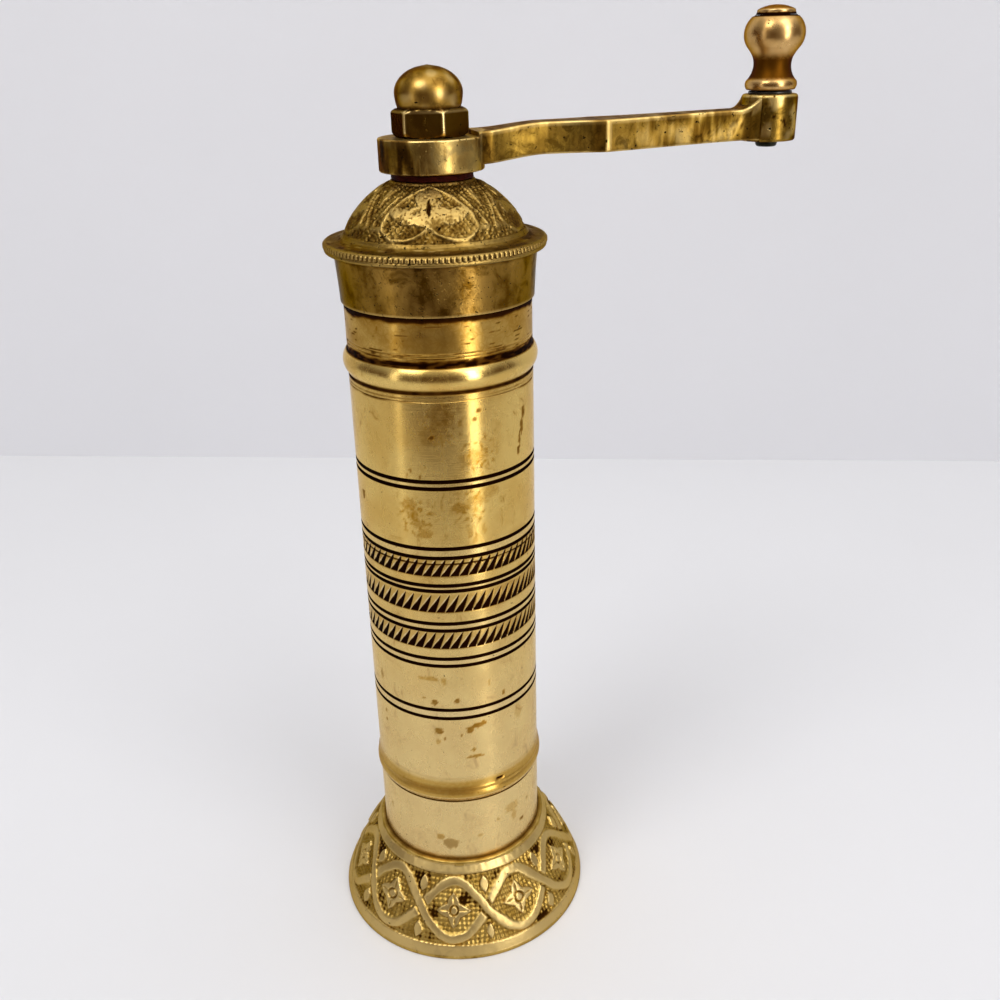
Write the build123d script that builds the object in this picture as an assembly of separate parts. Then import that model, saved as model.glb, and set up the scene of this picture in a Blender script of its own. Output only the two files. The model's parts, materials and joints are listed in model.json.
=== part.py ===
from build123d import *
import math
import os

# Brass pepper mill with a crank. Millimetres, +Z up, origin at the centre of the
# foot's underside, crank along +X. Every piece is built where it stands at rest.

# Clearances
SEATED = 0.02  # radial, pieces soldered or pressed together
RUNNING = 0.05  # radial, a piece that turns in another
SLIDING = 0.1  # radial, pieces that pull apart by hand
THREAD = 0.06  # radial, thread shown as a plain cylinder
SQUARE_PLAY = 0.04  # each side of a squared shaft end
BALL_PLAY = 0.05  # axial, thrust ball in a centre hole
PIN_PLAY = 0.1  # axial, cross pin under the burr
TURNING_GAP = 0.2  # axial, faces that turn past each other

# Receiver cup and foot
TUBE_R = 19.0
TUBE_WALL = 2.0
CUP_DEPTH = 35.8
FOOT_R = 30.0
FOOT_H = 20.3
FOOT_WALL = 2.6
FOOT_RIM_H = 0.9
FOOT_BULGE = 0.85
FOOT_COLLAR = 1.2  # how far the foot's top stands out from the tube
FOOT_COLLAR_H = 0.9
FOOT_NECK_H = 3.2  # length of foot that grips the tube
BRAID_EYES = 10  # eyes of the two-strand braid round the foot
BRAID_W = 2.5
BRAID_RISE = 0.7  # how far braid, flowers and borders stand above the ground
BRAID_LOW = 2.7  # plain borders below and above, along the flare
BRAID_HIGH = 2.2
FLOWER_SHARE = 0.76  # size of the flower in each eye, as a share of the eye
PETAL_SHARE = 0.46  # width of its petals, as a share of its size
PLATE_T = 1.6

# Body tube, heights above the cup's rim
BODY_H = 112.3
BEAD_H = 4.9
LOWER_BEAD = 0.75
UPPER_BEAD = 0.95
NECK_H = 9.4  # between the upper bead and the lid
RING_PAIRS = (24.1, 37.5, 46.3, 55.5, 63.7, 78.7)
RING_GAP = 1.7
RING_W = 0.8
RING_DEPTH = 0.4
SPIGOT_WALL = 1.0
SPIGOT_GAP = 0.4  # between the spigot's end and the lid's flange

# Lid
SKIRT_H = 9.6
SKIRT_TOP = 1.0  # how far the skirt stands out from the tube, top and bottom
SKIRT_FOOT = 0.4
FLANGE_OUT = 3.0  # how far the flange stands out from the tube
FLANGE_T = 2.1
DOME_OUT = 1.0  # how much wider the dome's sphere is than the tube
DOME_SINK = 5.4  # centre of the dome's sphere below the flange
DOME_WALL = 2.0
DOME_FOOT_IN = 2.0  # how far the dome meets the flange inside its own widest circle
SEAT_R = 8.0
SEAT_T = 2.2
WASHER_T = 1.3

# Crank
CRANK_R = 70.0
HUB_R = 10.1
HUB_T = 6.1
ARM_T = 5.9
ARM_ROOT_IN = 1.5  # how far the arm runs into the hub
ARM_ROOT_RISE = 1.0  # how far the arm stands above the hub's faces where it leaves the hub
ARM_RISE = 2.1  # and from the first hollow on
ARM_END_RISE = 0.7  # and how much further at the boss
SHOULDER_OUT = 0.7  # end of the arm's shoulder outside the hub
SHOULDER_W = 4.8
CUSP_X = 33.4
CUSP_W = 5.5
ARM_END_W = 3.0
SCALLOP = 1.9  # depth of the hollow between shoulder and cusp
TAPER_SCALLOP = 0.7
BOSS_R = 5.6
BOSS_T = 8.9
BOSS_LIP = 0.4  # how far the boss stands out below the arm
NUT_AF = 13.0
NUT_HEX_H = 5.0
NUT_LEDGE = 0.2  # flat of the hexagon left round the dome
NUT_DOME_H = 7.3
NUT_TURN = 9.0  # how far one flat's normal is turned from +X
STUD_R = 3.0
STUD_H = 9.4

# Knob, heights above its own base
AXLE_R = 1.85
AXLE_HEAD_R = 3.7
AXLE_HEAD_H = 1.8
AXLE_END_R = 2.2
AXLE_END_H = 1.2
KNOB_WASHER_R = 4.3
KNOB_WASHER_T = 0.5
KNOB_BASE_R = 4.8
KNOB_BASE_H = 1.7
KNOB_BASE_BULGE = 0.3
KNOB_COVE = 0.95
KNOB_NECK_R = 4.0
KNOB_NECK_Z = 6.9
KNOB_R = 6.0
KNOB_BULB_Z = 11.3
KNOB_TOP_R = 4.2
KNOB_TOP_BULGE = 0.5
KNOB_H = 13.5

# Grinding works
SHAFT_R = 4.0
SHAFT_AF = 6.4
SLEEVE_H = 17.0
SLEEVE_IN_BODY = 4.6
SLEEVE_WALL = 1.5
RING_H = 14.0
GRIND_H = 5.0
GRIND_GAP = 0.6
RING_WALL = 4.2  # least wall of the fixed burr outside its teeth
CONE_WALL = 2.4  # wall of the turning burr at its top
CONE_SLOPE = 0.3
CONE_OVER = 1.0  # how far the cone stands above the ring
RING_LIP = 1.4  # wall of the fixed burr at its mouth
CONE_TEETH = 24
RING_TEETH = 28
CONE_FLUTES = 7
RING_FLUTES = 9
TOOTH_DEPTH = 0.8
FLUTE_DEPTH = 1.6
TOOTH_LEAN = 12.0
FLUTE_LEAN = 28.0
CROSS_PIN_R = 1.0
CROSS_PIN_OVER = 2.2  # how far a cross pin stands out of the shaft
SHAFT_TAIL = 5.0  # shaft below the cone
BALL_R = 2.0
CENTRE_R = 2.4  # radius and depth of the centre holes that hold the ball
LOWER_BRIDGE_T = 5.0
LOWER_BRIDGE_W = 9.0
LOWER_BRIDGE_GAP = 3.5  # between the bar and the shaft's end
BRIDGE_SCREW_R = 1.5
BRIDGE_SCREW_HEAD_R = 2.6
BRIDGE_SCREW_L = 7.0
ADJUST_R = 3.0
ADJUST_BELOW = 8.0  # screw below the bar
WHEEL_R = 8.0
WHEEL_T = 4.5
WHEEL_NOTCHES = 18
WHEEL_NOTCH_R = 0.8
WHEEL_PIN_R = 0.8
UPPER_BRIDGE_T = 2.5
UPPER_BRIDGE_W = 9.0
UPPER_BRIDGE_EYE = 2.5  # how far the round eye reaches past the bush
BUSH_WALL = 2.0
BUSH_OVER = 1.5
SPRING_PLAY = 1.5  # between the shaft and the coil
SPRING_WIRE_R = 0.65
SPRING_H = 18.0
SPRING_TURNS = 5.0
SPRING_SEAT_T = 1.5
SPRING_SEAT_OVER = 1.2

# Radii that follow
BORE_R = TUBE_R - TUBE_WALL
SLEEVE_R = BORE_R - SLIDING
SLEEVE_BORE_R = SLEEVE_R - SLEEVE_WALL
SPIGOT_R = BORE_R + SPIGOT_WALL
FLANGE_R = TUBE_R + FLANGE_OUT
DOME_R = TUBE_R + DOME_OUT
DOME_FOOT_R = DOME_R - DOME_FOOT_IN
NUT_DOME_R = NUT_AF / 2 - NUT_LEDGE
PLATE_R = FOOT_R - FOOT_WALL - SEATED
PASS_R = SHAFT_R + RUNNING
SHAFT_HOLE_R = SHAFT_R + 0.3
BUSH_R = PASS_R + BUSH_WALL
EYE_R = BUSH_R + UPPER_BRIDGE_EYE
CONE_R = BORE_R - SEATED - RING_WALL - TOOTH_DEPTH - GRIND_GAP
CONE_TOP_R = SHAFT_R + CONE_WALL
SPRING_R = PASS_R + SPRING_PLAY + SPRING_WIRE_R
SPRING_SEAT_R = SPRING_R + SPRING_WIRE_R + SPRING_SEAT_OVER

# Places along the arm that follow
ARM_ROOT_X = HUB_R - ARM_ROOT_IN
SHOULDER_X = HUB_R + SHOULDER_OUT

# Heights that follow
RIM_Z = PLATE_T + CUP_DEPTH
SHOULDER_Z = RIM_Z + BODY_H
FLANGE_Z = SHOULDER_Z + SKIRT_H
MOUTH_Z = FLANGE_Z - SPIGOT_GAP
DOME_Z = FLANGE_Z - DOME_SINK
SEAT_Z = DOME_Z + math.sqrt(DOME_R**2 - SEAT_R**2)
HUB_Z = SEAT_Z + WASHER_T + TURNING_GAP
HUB_TOP_Z = HUB_Z + HUB_T
BOSS_Z = HUB_Z + ARM_RISE + ARM_END_RISE - BOSS_LIP
KNOB_Z = BOSS_Z + BOSS_T + KNOB_WASHER_T + TURNING_GAP
RING_Z = RIM_Z + SLEEVE_IN_BODY
CONE_TOP_Z = RING_Z + RING_H + CONE_OVER
SHAFT_Z = RING_Z - SHAFT_TAIL
BALL_Z = SHAFT_Z + CENTRE_R - BALL_PLAY - math.sqrt(2) * BALL_R
SCREW_TOP_Z = 2 * BALL_Z - SHAFT_Z
LOWER_BRIDGE_Z = SHAFT_Z - LOWER_BRIDGE_GAP - LOWER_BRIDGE_T
SLEEVE_Z = RING_Z - SLEEVE_H
WHEEL_Z = LOWER_BRIDGE_Z - ADJUST_BELOW
UPPER_BRIDGE_Z = MOUTH_Z - UPPER_BRIDGE_T
SPRING_Z = UPPER_BRIDGE_Z - SPRING_H
BURR_PIN_Z = RING_Z - CROSS_PIN_R - PIN_PLAY
SPRING_PIN_Z = SPRING_Z - SPRING_SEAT_T - CROSS_PIN_R - SEATED


def turned(start, *steps):
    """Solid turned about Z: (r, z) cuts straight to that point, (r, z, sagitta) along an arc."""
    edges = []
    here = start
    for r, z, *sagitta in (*steps, start):
        there = (r, z)
        edges.append(SagittaArc(here, there, *sagitta) if sagitta else Line(here, there))
        here = there
    return revolve(Plane.XZ * make_face(edges), Axis.Z)


def crown(radius, height):
    """Sagitta of the arc from a rim of that radius up to the axis, level at the top."""
    sphere_r = (radius**2 + height**2) / (2 * height)
    return math.sqrt(sphere_r**2 - (radius**2 + height**2) / 4) - sphere_r


def tube(outer_r, inner_r, low, high):
    return turned((inner_r, low), (outer_r, low), (outer_r, high), (inner_r, high))


def rod(radius, low, high):
    return Pos(0, 0, (low + high) / 2) * Cylinder(radius, high - low)


def cross_rod(radius, length, z):
    return Pos(0, 0, z) * Rot(0, 90, 0) * Cylinder(radius, length)


def squared(play, low, high):
    """Squared end of the shaft, or with play the hole that fits over it."""
    side = SHAFT_AF + 2 * play
    return rod(SHAFT_R + play, low, high) & Pos(0, 0, (low + high) / 2) * Box(side, side, high - low)


def vee_cuts(count, depth, lean, low, high):
    """Ring of straight V cuts along a cone from low to high, both (r, z), on the left of that line."""
    (low_r, low_z), (high_r, high_z) = low, high
    slant = Vector(high_r - low_r, 0, high_z - low_z)
    normal = Vector(high_z - low_z, 0, low_r - high_r).normalized()
    middle = Vector((low_r + high_r) / 2, 0, (low_z + high_z) / 2)
    along = slant.normalized().rotate(Axis((0, 0, 0), normal), lean)
    vee = make_face(Polyline((-depth, 0), (depth, 2 * depth), (depth, -2 * depth), close=True))
    cut = extrude(Plane(middle, x_dir=normal, z_dir=along) * vee, slant.length, both=True)
    return [Rot(0, 0, 360 * i / count) * cut for i in range(count)]


def braid_pockets():
    """Sunk ground of the foot's braid: an eye round a standing flower, and gaps above and below a crossing."""
    low = Vector(FOOT_R, 0, FOOT_RIM_H)
    slant = Vector(TUBE_R + FOOT_COLLAR, 0, FOOT_H - FOOT_COLLAR_H) - low
    along = slant.normalized()
    outward = Vector(along.Z, 0, -along.X)
    middle = (BRAID_LOW + slant.length - BRAID_HIGH) / 2
    swing = middle - BRAID_LOW - BRAID_W / 2
    pitch = 2 * math.pi * (low + along * middle).X / BRAID_EYES

    def drawn(x, up):
        """Point of the flare, x round it at the braid's middle, seen square on."""
        place = low + along * (middle + up)
        angle = 2 * math.pi * x / pitch / BRAID_EYES
        across = Vector(place.X * math.cos(angle), place.X * math.sin(angle), place.Z) - low
        return (across.Y, across.dot(along))

    def strand_edge(x, side):
        """Height of a strand's edge above the braid's middle, on the strand's inner or outer side."""
        slope = swing * math.pi / pitch * math.sin(math.pi * x / pitch)
        return swing * math.cos(math.pi * x / pitch) + side * BRAID_W / 2 * math.hypot(1, slope)

    def ringed(*edges):
        """Face inside smooth edges that run on from one another."""
        return make_face([Spline(*[drawn(*point) for point in edge]) for edge in edges])

    steep = swing * math.pi / pitch
    tip = pitch / 2 - BRAID_W / 2 * math.hypot(1, steep) / steep
    over = [(tip * i / 4, strand_edge(tip * i / 4, -1)) for i in range(-3, 4)]
    over = [(-tip, 0), *over, (tip, 0)]
    eye = ringed(over, [(x, -up) for x, up in over])
    long = FLOWER_SHARE * (swing - BRAID_W / 2)
    wide = PETAL_SHARE * long
    upright = ringed([(0, -long), (wide, 0), (0, long)], [(0, -long), (-wide, 0), (0, long)])
    level = ringed([(-long, 0), (0, wide), (long, 0)], [(-long, 0), (0, -wide), (long, 0)])
    faces = [eye - upright - level]
    for side in (-1, 1):
        reach = 0.34 * pitch
        flank = [(reach * i / 4, side * strand_edge(pitch / 2 - reach * i / 4, 1)) for i in range(5)]
        border = [flank[-1], (0, side * (swing + BRAID_W / 2)), (-reach, flank[-1][1])]
        faces.append(ringed(flank, border, [(-x, up) for x, up in flank]))
    drawn_on = Plane(low, x_dir=(0, 1, 0), z_dir=outward)
    ground = low - outward * BRAID_RISE
    ground_top = ground + slant
    outside = turned(
        (2 * FOOT_R, ground.Z),
        (2 * FOOT_R, ground_top.Z),
        (ground_top.X, ground_top.Z),
        (ground.X, ground.Z, FOOT_BULGE),
    )
    eye, *gaps = [extrude(drawn_on * face, 2 * BRAID_W, both=True) & outside for face in faces]
    half_step = 180 / BRAID_EYES
    cuts = [eye, *[Rot(0, 0, half_step) * gap for gap in gaps]]
    return [Rot(0, 0, 2 * half_step * i) * cut for i in range(BRAID_EYES) for cut in cuts]


def make_foot():
    inner_r = FOOT_R - FOOT_WALL
    neck_r = TUBE_R + SEATED
    top_r = TUBE_R + FOOT_COLLAR
    foot = turned(
        (inner_r, 0),
        (FOOT_R, 0),
        (FOOT_R, FOOT_RIM_H),
        (top_r, FOOT_H - FOOT_COLLAR_H, -FOOT_BULGE),
        (top_r, FOOT_H),
        (neck_r, FOOT_H),
        (neck_r, FOOT_H - FOOT_NECK_H),
        (inner_r, PLATE_T),
    )
    return foot - braid_pockets()


def make_body_tube():
    """Outer profile from the cup's rim up, with beads and ring grooves, and the spigot's notches."""
    profile = [(TUBE_R, RIM_Z), (TUBE_R, RIM_Z + BEAD_H, -LOWER_BEAD)]
    for pair in RING_PAIRS:
        for z in (RIM_Z + pair - RING_GAP / 2, RIM_Z + pair + RING_GAP / 2):
            profile.append((TUBE_R, z - RING_W / 2))
            profile.append((TUBE_R - RING_DEPTH, z))
            profile.append((TUBE_R, z + RING_W / 2))
    bead_top_z = SHOULDER_Z - NECK_H
    profile.append((TUBE_R, bead_top_z - BEAD_H))
    profile.append((TUBE_R, bead_top_z, -UPPER_BEAD))
    profile.append((TUBE_R, SHOULDER_Z))
    profile.append((SPIGOT_R, SHOULDER_Z))
    profile.append((SPIGOT_R, MOUTH_Z))
    profile.append((BORE_R, MOUTH_Z))
    body = turned((BORE_R, RIM_Z), *profile)
    notch_w = UPPER_BRIDGE_W + 2 * SEATED
    notch = Box(notch_w, 4 * TUBE_R, UPPER_BRIDGE_T)
    return body - Pos(0, 0, UPPER_BRIDGE_Z + UPPER_BRIDGE_T / 2) * notch


def make_cup_sleeve():
    sleeve = tube(SLEEVE_R, SLEEVE_BORE_R, SLEEVE_Z, RING_Z)
    return sleeve - bridge_screws_at(SEATED)


def bridge_screws_at(play):
    """Countersunk screws along Y through the sleeve's wall, or with play the holes they need."""
    z = LOWER_BRIDGE_Z + LOWER_BRIDGE_T / 2
    head_h = BRIDGE_SCREW_HEAD_R - BRIDGE_SCREW_R
    one = turned(
        (0, 0),
        (BRIDGE_SCREW_R + play, 0),
        (BRIDGE_SCREW_R + play, BRIDGE_SCREW_L - head_h),
        (BRIDGE_SCREW_HEAD_R + play, BRIDGE_SCREW_L),
        (0, BRIDGE_SCREW_L),
    )
    outer = SLEEVE_R - 0.3
    front = Pos(0, BRIDGE_SCREW_L - outer, z) * Rot(90, 0, 0) * one
    back = Pos(0, outer - BRIDGE_SCREW_L, z) * Rot(-90, 0, 0) * one
    return front + back


def make_lower_bridge():
    z = LOWER_BRIDGE_Z + LOWER_BRIDGE_T / 2
    bar = Pos(0, 0, z) * Box(LOWER_BRIDGE_W, 2 * SLEEVE_R, LOWER_BRIDGE_T)
    bar = bar & rod(SLEEVE_BORE_R - SEATED, LOWER_BRIDGE_Z, LOWER_BRIDGE_Z + LOWER_BRIDGE_T)
    hole = rod(ADJUST_R + THREAD, LOWER_BRIDGE_Z - 1, LOWER_BRIDGE_Z + LOWER_BRIDGE_T + 1)
    return bar - hole - bridge_screws_at(SEATED)


def make_upper_bridge():
    z = UPPER_BRIDGE_Z + UPPER_BRIDGE_T / 2
    bar = Pos(0, 0, z) * Box(UPPER_BRIDGE_W, 2 * SPIGOT_R, UPPER_BRIDGE_T)
    bar = bar + rod(EYE_R, UPPER_BRIDGE_Z, MOUTH_Z)
    bar = bar & rod(SPIGOT_R - SLIDING, UPPER_BRIDGE_Z, MOUTH_Z)
    return bar - rod(BUSH_R + SEATED, UPPER_BRIDGE_Z - 1, MOUTH_Z + 1)


def cone_tip(z):
    return CONE_R - CONE_SLOPE * (z - RING_Z)


def make_burr_ring():
    """Fixed burr: fine teeth that widen downwards, a fluted funnel above them."""
    throat_z = RING_Z + GRIND_H
    top_z = RING_Z + RING_H
    outer_r = BORE_R - SEATED
    low = (CONE_R + GRIND_GAP, RING_Z)
    throat = (cone_tip(throat_z) + GRIND_GAP, throat_z)
    mouth = (BORE_R - RING_LIP, top_z)
    ring = turned(low, (outer_r, RING_Z), (outer_r, top_z), mouth, throat)
    ring = ring - vee_cuts(RING_TEETH, TOOTH_DEPTH, -TOOTH_LEAN, throat, low)
    return ring - vee_cuts(RING_FLUTES, FLUTE_DEPTH, -FLUTE_LEAN, mouth, throat)


def make_burr_cone():
    """Turning burr: fine teeth below, coarse leaning flutes that draw the corns down above."""
    throat_z = RING_Z + GRIND_H
    low = (CONE_R, RING_Z)
    throat = (cone_tip(throat_z), throat_z)
    top = (CONE_TOP_R, CONE_TOP_Z)
    cone = turned((0, RING_Z), low, throat, top, (0, CONE_TOP_Z))
    cone = cone - vee_cuts(CONE_TEETH, TOOTH_DEPTH, TOOTH_LEAN, low, throat)
    cone = cone - vee_cuts(CONE_FLUTES, FLUTE_DEPTH, FLUTE_LEAN, throat, top)
    return cone - squared(SQUARE_PLAY, RING_Z - 1, CONE_TOP_Z + 1)


def make_drive_shaft():
    """Rod squared at the burr and at the crank, with a threaded stud on top."""
    stud_z = HUB_TOP_Z - TURNING_GAP
    shaft = squared(0, SHAFT_Z, CONE_TOP_Z + SEATED)
    shaft = shaft + rod(SHAFT_R, CONE_TOP_Z + SEATED, HUB_Z)
    shaft = shaft + squared(0, HUB_Z, stud_z)
    shaft = shaft + rod(STUD_R, stud_z, HUB_TOP_Z + STUD_H)
    centre_hole = turned((0, SHAFT_Z), (CENTRE_R, SHAFT_Z), (0, SHAFT_Z + CENTRE_R))
    pin_length = 4 * SHAFT_R
    shaft = shaft - centre_hole - cross_rod(CROSS_PIN_R + SEATED, pin_length, BURR_PIN_Z)
    return shaft - cross_rod(CROSS_PIN_R + SEATED, pin_length, SPRING_PIN_Z)


def make_adjusting_screw():
    """Screw through the lower bar, hollowed on top for the thrust ball."""
    screw = rod(ADJUST_R, WHEEL_Z, SCREW_TOP_Z)
    centre_hole = turned((0, SCREW_TOP_Z - CENTRE_R), (CENTRE_R, SCREW_TOP_Z), (0, SCREW_TOP_Z))
    return screw - centre_hole - cross_rod(WHEEL_PIN_R + SEATED, 4 * ADJUST_R, WHEEL_Z + WHEEL_T / 2)


def make_adjusting_wheel():
    wheel = tube(WHEEL_R, ADJUST_R + RUNNING, WHEEL_Z, WHEEL_Z + WHEEL_T)
    notch = rod(WHEEL_NOTCH_R, WHEEL_Z - 1, WHEEL_Z + WHEEL_T + 1)
    edge_notch = Pos(WHEEL_R, 0, 0) * notch
    wheel = wheel - [Rot(0, 0, 360 * i / WHEEL_NOTCHES) * edge_notch for i in range(WHEEL_NOTCHES)]
    return wheel - cross_rod(WHEEL_PIN_R + SEATED, 3 * WHEEL_R, WHEEL_Z + WHEEL_T / 2)


def make_spring():
    """Coil with flat ground ends between the seat washer and the upper bar."""
    pitch = SPRING_H / SPRING_TURNS
    path = Helix(pitch, SPRING_H, SPRING_R, center=(0, 0, SPRING_Z))
    section = Plane(path @ 0, z_dir=path % 0) * RegularPolygon(SPRING_WIRE_R, 8)
    coil = sweep(section, path=path, is_frenet=True)
    return coil & rod(2 * SPRING_R, SPRING_Z, UPPER_BRIDGE_Z)


def make_lid_dome():
    """Domed shell with its flange, a flat seat on top and the shaft's hole."""
    inner_r = DOME_R - DOME_WALL
    half_t = FLANGE_T / 2
    foot_z = DOME_Z + math.sqrt(DOME_R**2 - DOME_FOOT_R**2)
    ceiling_z = SEAT_Z - SEAT_T
    ceiling_r = math.sqrt(inner_r**2 - (ceiling_z - DOME_Z) ** 2)
    mouth_r = math.sqrt(inner_r**2 - DOME_SINK**2)
    outside = math.hypot(DOME_FOOT_R - SEAT_R, SEAT_Z - foot_z) / 2
    inside = math.hypot(mouth_r - ceiling_r, ceiling_z - FLANGE_Z) / 2
    return turned(
        (SHAFT_HOLE_R, SEAT_Z),
        (SEAT_R, SEAT_Z),
        (DOME_FOOT_R, foot_z, DOME_R - math.sqrt(DOME_R**2 - outside**2)),
        (FLANGE_R - half_t, FLANGE_Z + FLANGE_T),
        (FLANGE_R - half_t, FLANGE_Z, half_t),
        (mouth_r, FLANGE_Z),
        (ceiling_r, ceiling_z, math.sqrt(inner_r**2 - inside**2) - inner_r),
        (SHAFT_HOLE_R, ceiling_z),
    )


def make_lid_skirt():
    inner_r = SPIGOT_R + SLIDING
    return turned(
        (inner_r, SHOULDER_Z),
        (TUBE_R + SKIRT_FOOT, SHOULDER_Z),
        (TUBE_R + SKIRT_TOP, FLANGE_Z),
        (inner_r, FLANGE_Z),
    )


def arm_plan():
    """Half outline of the arm from root to boss, mirrored on the X axis."""
    end_x = CRANK_R - BOSS_R
    half = [
        Line((ARM_ROOT_X, SHOULDER_W), (SHOULDER_X, SHOULDER_W)),
        SagittaArc((SHOULDER_X, SHOULDER_W), (CUSP_X, CUSP_W), -SCALLOP),
        SagittaArc((CUSP_X, CUSP_W), (end_x, ARM_END_W), -TAPER_SCALLOP),
        Line((end_x, ARM_END_W), (CRANK_R, ARM_END_W)),
    ]
    ends = [
        Line((ARM_ROOT_X, -SHOULDER_W), (ARM_ROOT_X, SHOULDER_W)),
        Line((CRANK_R, -ARM_END_W), (CRANK_R, ARM_END_W)),
    ]
    return make_face([*half, *[mirror(edge, Plane.XZ) for edge in half], *ends])


def arm_side():
    """Side view of the arm: up from the hub, level past the cusp, then a little higher at the boss."""
    line = [
        (ARM_ROOT_X, HUB_Z + ARM_ROOT_RISE),
        ((SHOULDER_X + CUSP_X) / 2, HUB_Z + ARM_RISE),
        (CUSP_X, HUB_Z + ARM_RISE),
        (CRANK_R, HUB_Z + ARM_RISE + ARM_END_RISE),
    ]
    low = Spline(*line)
    high = Pos(0, ARM_T) * low
    ends = [Line(low @ 0, high @ 0), Line(low @ 1, high @ 1)]
    return Plane.XZ * make_face([low, high, *ends])


def make_crank_arm():
    arm = extrude(arm_plan(), HUB_Z + 4 * HUB_T) & extrude(arm_side(), 4 * HUB_R, both=True)
    crank = arm + rod(HUB_R, HUB_Z, HUB_TOP_Z)
    crank = crank + Pos(CRANK_R, 0, 0) * rod(BOSS_R, BOSS_Z, BOSS_Z + BOSS_T)
    axle_hole = Pos(CRANK_R, 0, 0) * rod(AXLE_R + SEATED, BOSS_Z - 1, BOSS_Z + BOSS_T + 1)
    return crank - axle_hole - squared(SQUARE_PLAY, HUB_Z - 1, HUB_TOP_Z + 1)


def make_cap_nut():
    """Hexagon with chamfered corners, domed cap and a blind threaded hole."""
    corner_r = NUT_AF / math.sqrt(3)
    hex_top_z = HUB_TOP_Z + NUT_HEX_H
    cap_h = 0.8 * NUT_DOME_H
    hexagon = extrude(Pos(0, 0, HUB_TOP_Z) * RegularPolygon(corner_r, 6), NUT_HEX_H)
    chamfer_r = NUT_AF / 2 + 0.1
    drop = (corner_r - chamfer_r) * 0.6
    hexagon = hexagon & turned(
        (0, HUB_TOP_Z),
        (corner_r, HUB_TOP_Z),
        (corner_r, hex_top_z - drop),
        (chamfer_r, hex_top_z),
        (0, hex_top_z),
    )
    cap = turned(
        (0, hex_top_z),
        (NUT_DOME_R, hex_top_z),
        (NUT_DOME_R, hex_top_z + NUT_DOME_H - cap_h),
        (0, hex_top_z + NUT_DOME_H, crown(NUT_DOME_R, cap_h)),
    )
    hole = rod(STUD_R + THREAD, HUB_TOP_Z, HUB_TOP_Z + STUD_H + 0.5)
    return Rot(0, 0, NUT_TURN + 30) * (hexagon + cap) - hole


def make_knob_axle():
    """Rivet with a rounded head over the knob and a closed end under the boss."""
    head_z = KNOB_Z + KNOB_H + TURNING_GAP
    rivet = turned(
        (0, BOSS_Z - AXLE_END_H),
        (AXLE_END_R, BOSS_Z - AXLE_END_H),
        (AXLE_END_R, BOSS_Z),
        (AXLE_R, BOSS_Z),
        (AXLE_R, head_z),
        (AXLE_HEAD_R, head_z),
        (AXLE_HEAD_R, head_z + AXLE_HEAD_H / 2),
        (0, head_z + AXLE_HEAD_H, crown(AXLE_HEAD_R, AXLE_HEAD_H / 2)),
    )
    return Pos(CRANK_R, 0, 0) * rivet


def make_crank_knob():
    bore_r = AXLE_R + RUNNING
    half_chord = math.hypot(KNOB_R - KNOB_NECK_R, KNOB_BULB_Z - KNOB_NECK_Z) / 2
    bulb = math.sqrt(KNOB_R**2 - half_chord**2) - KNOB_R
    knob = turned(
        (bore_r, KNOB_Z),
        (KNOB_BASE_R, KNOB_Z),
        (KNOB_BASE_R, KNOB_Z + KNOB_BASE_H, -KNOB_BASE_BULGE),
        (KNOB_NECK_R, KNOB_Z + KNOB_NECK_Z, KNOB_COVE),
        (KNOB_R, KNOB_Z + KNOB_BULB_Z, bulb),
        (KNOB_TOP_R, KNOB_Z + KNOB_H, -KNOB_TOP_BULGE),
        (bore_r, KNOB_Z + KNOB_H),
    )
    return Pos(CRANK_R, 0, 0) * knob


def make_pieces():
    pin_length = 2 * (SHAFT_R + CROSS_PIN_OVER)
    boss_top_z = BOSS_Z + BOSS_T
    knob_washer = tube(KNOB_WASHER_R, AXLE_R + RUNNING, boss_top_z, boss_top_z + KNOB_WASHER_T)
    return {
        "foot": make_foot(),
        "base_plate": rod(PLATE_R, 0, PLATE_T),
        "cup_tube": tube(TUBE_R, BORE_R, PLATE_T, RIM_Z),
        "body_tube": make_body_tube(),
        "cup_sleeve": make_cup_sleeve(),
        "lower_bridge": make_lower_bridge(),
        "bridge_screws": bridge_screws_at(0),
        "burr_ring": make_burr_ring(),
        "upper_bridge": make_upper_bridge(),
        "shaft_bush": tube(BUSH_R, PASS_R, UPPER_BRIDGE_Z, MOUTH_Z + BUSH_OVER),
        "spring": make_spring(),
        "thrust_ball": Pos(0, 0, BALL_Z) * Sphere(BALL_R),
        "adjusting_screw": make_adjusting_screw(),
        "adjusting_wheel": make_adjusting_wheel(),
        "wheel_pin": cross_rod(WHEEL_PIN_R, 2 * WHEEL_R - 2, WHEEL_Z + WHEEL_T / 2),
        "drive_shaft": make_drive_shaft(),
        "burr_cone": make_burr_cone(),
        "burr_pin": cross_rod(CROSS_PIN_R, pin_length, BURR_PIN_Z),
        "spring_seat": tube(SPRING_SEAT_R, PASS_R, SPRING_Z - SPRING_SEAT_T, SPRING_Z),
        "spring_pin": cross_rod(CROSS_PIN_R, pin_length, SPRING_PIN_Z),
        "lid_dome": make_lid_dome(),
        "lid_skirt": make_lid_skirt(),
        "crank_washer": tube(SEAT_R, SHAFT_HOLE_R, SEAT_Z, SEAT_Z + WASHER_T),
        "crank_arm": make_crank_arm(),
        "cap_nut": make_cap_nut(),
        "knob_axle": make_knob_axle(),
        "knob_washer": Pos(CRANK_R, 0, 0) * knob_washer,
        "crank_knob": make_crank_knob(),
    }


os.makedirs("parts", exist_ok=True)
for name, piece in make_pieces().items():
    piece.label = name
    export_step(piece, f"parts/{name}.step")
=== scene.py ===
import json
import math
import bmesh
import bpy
from mathutils import Matrix, Vector, noise


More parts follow.
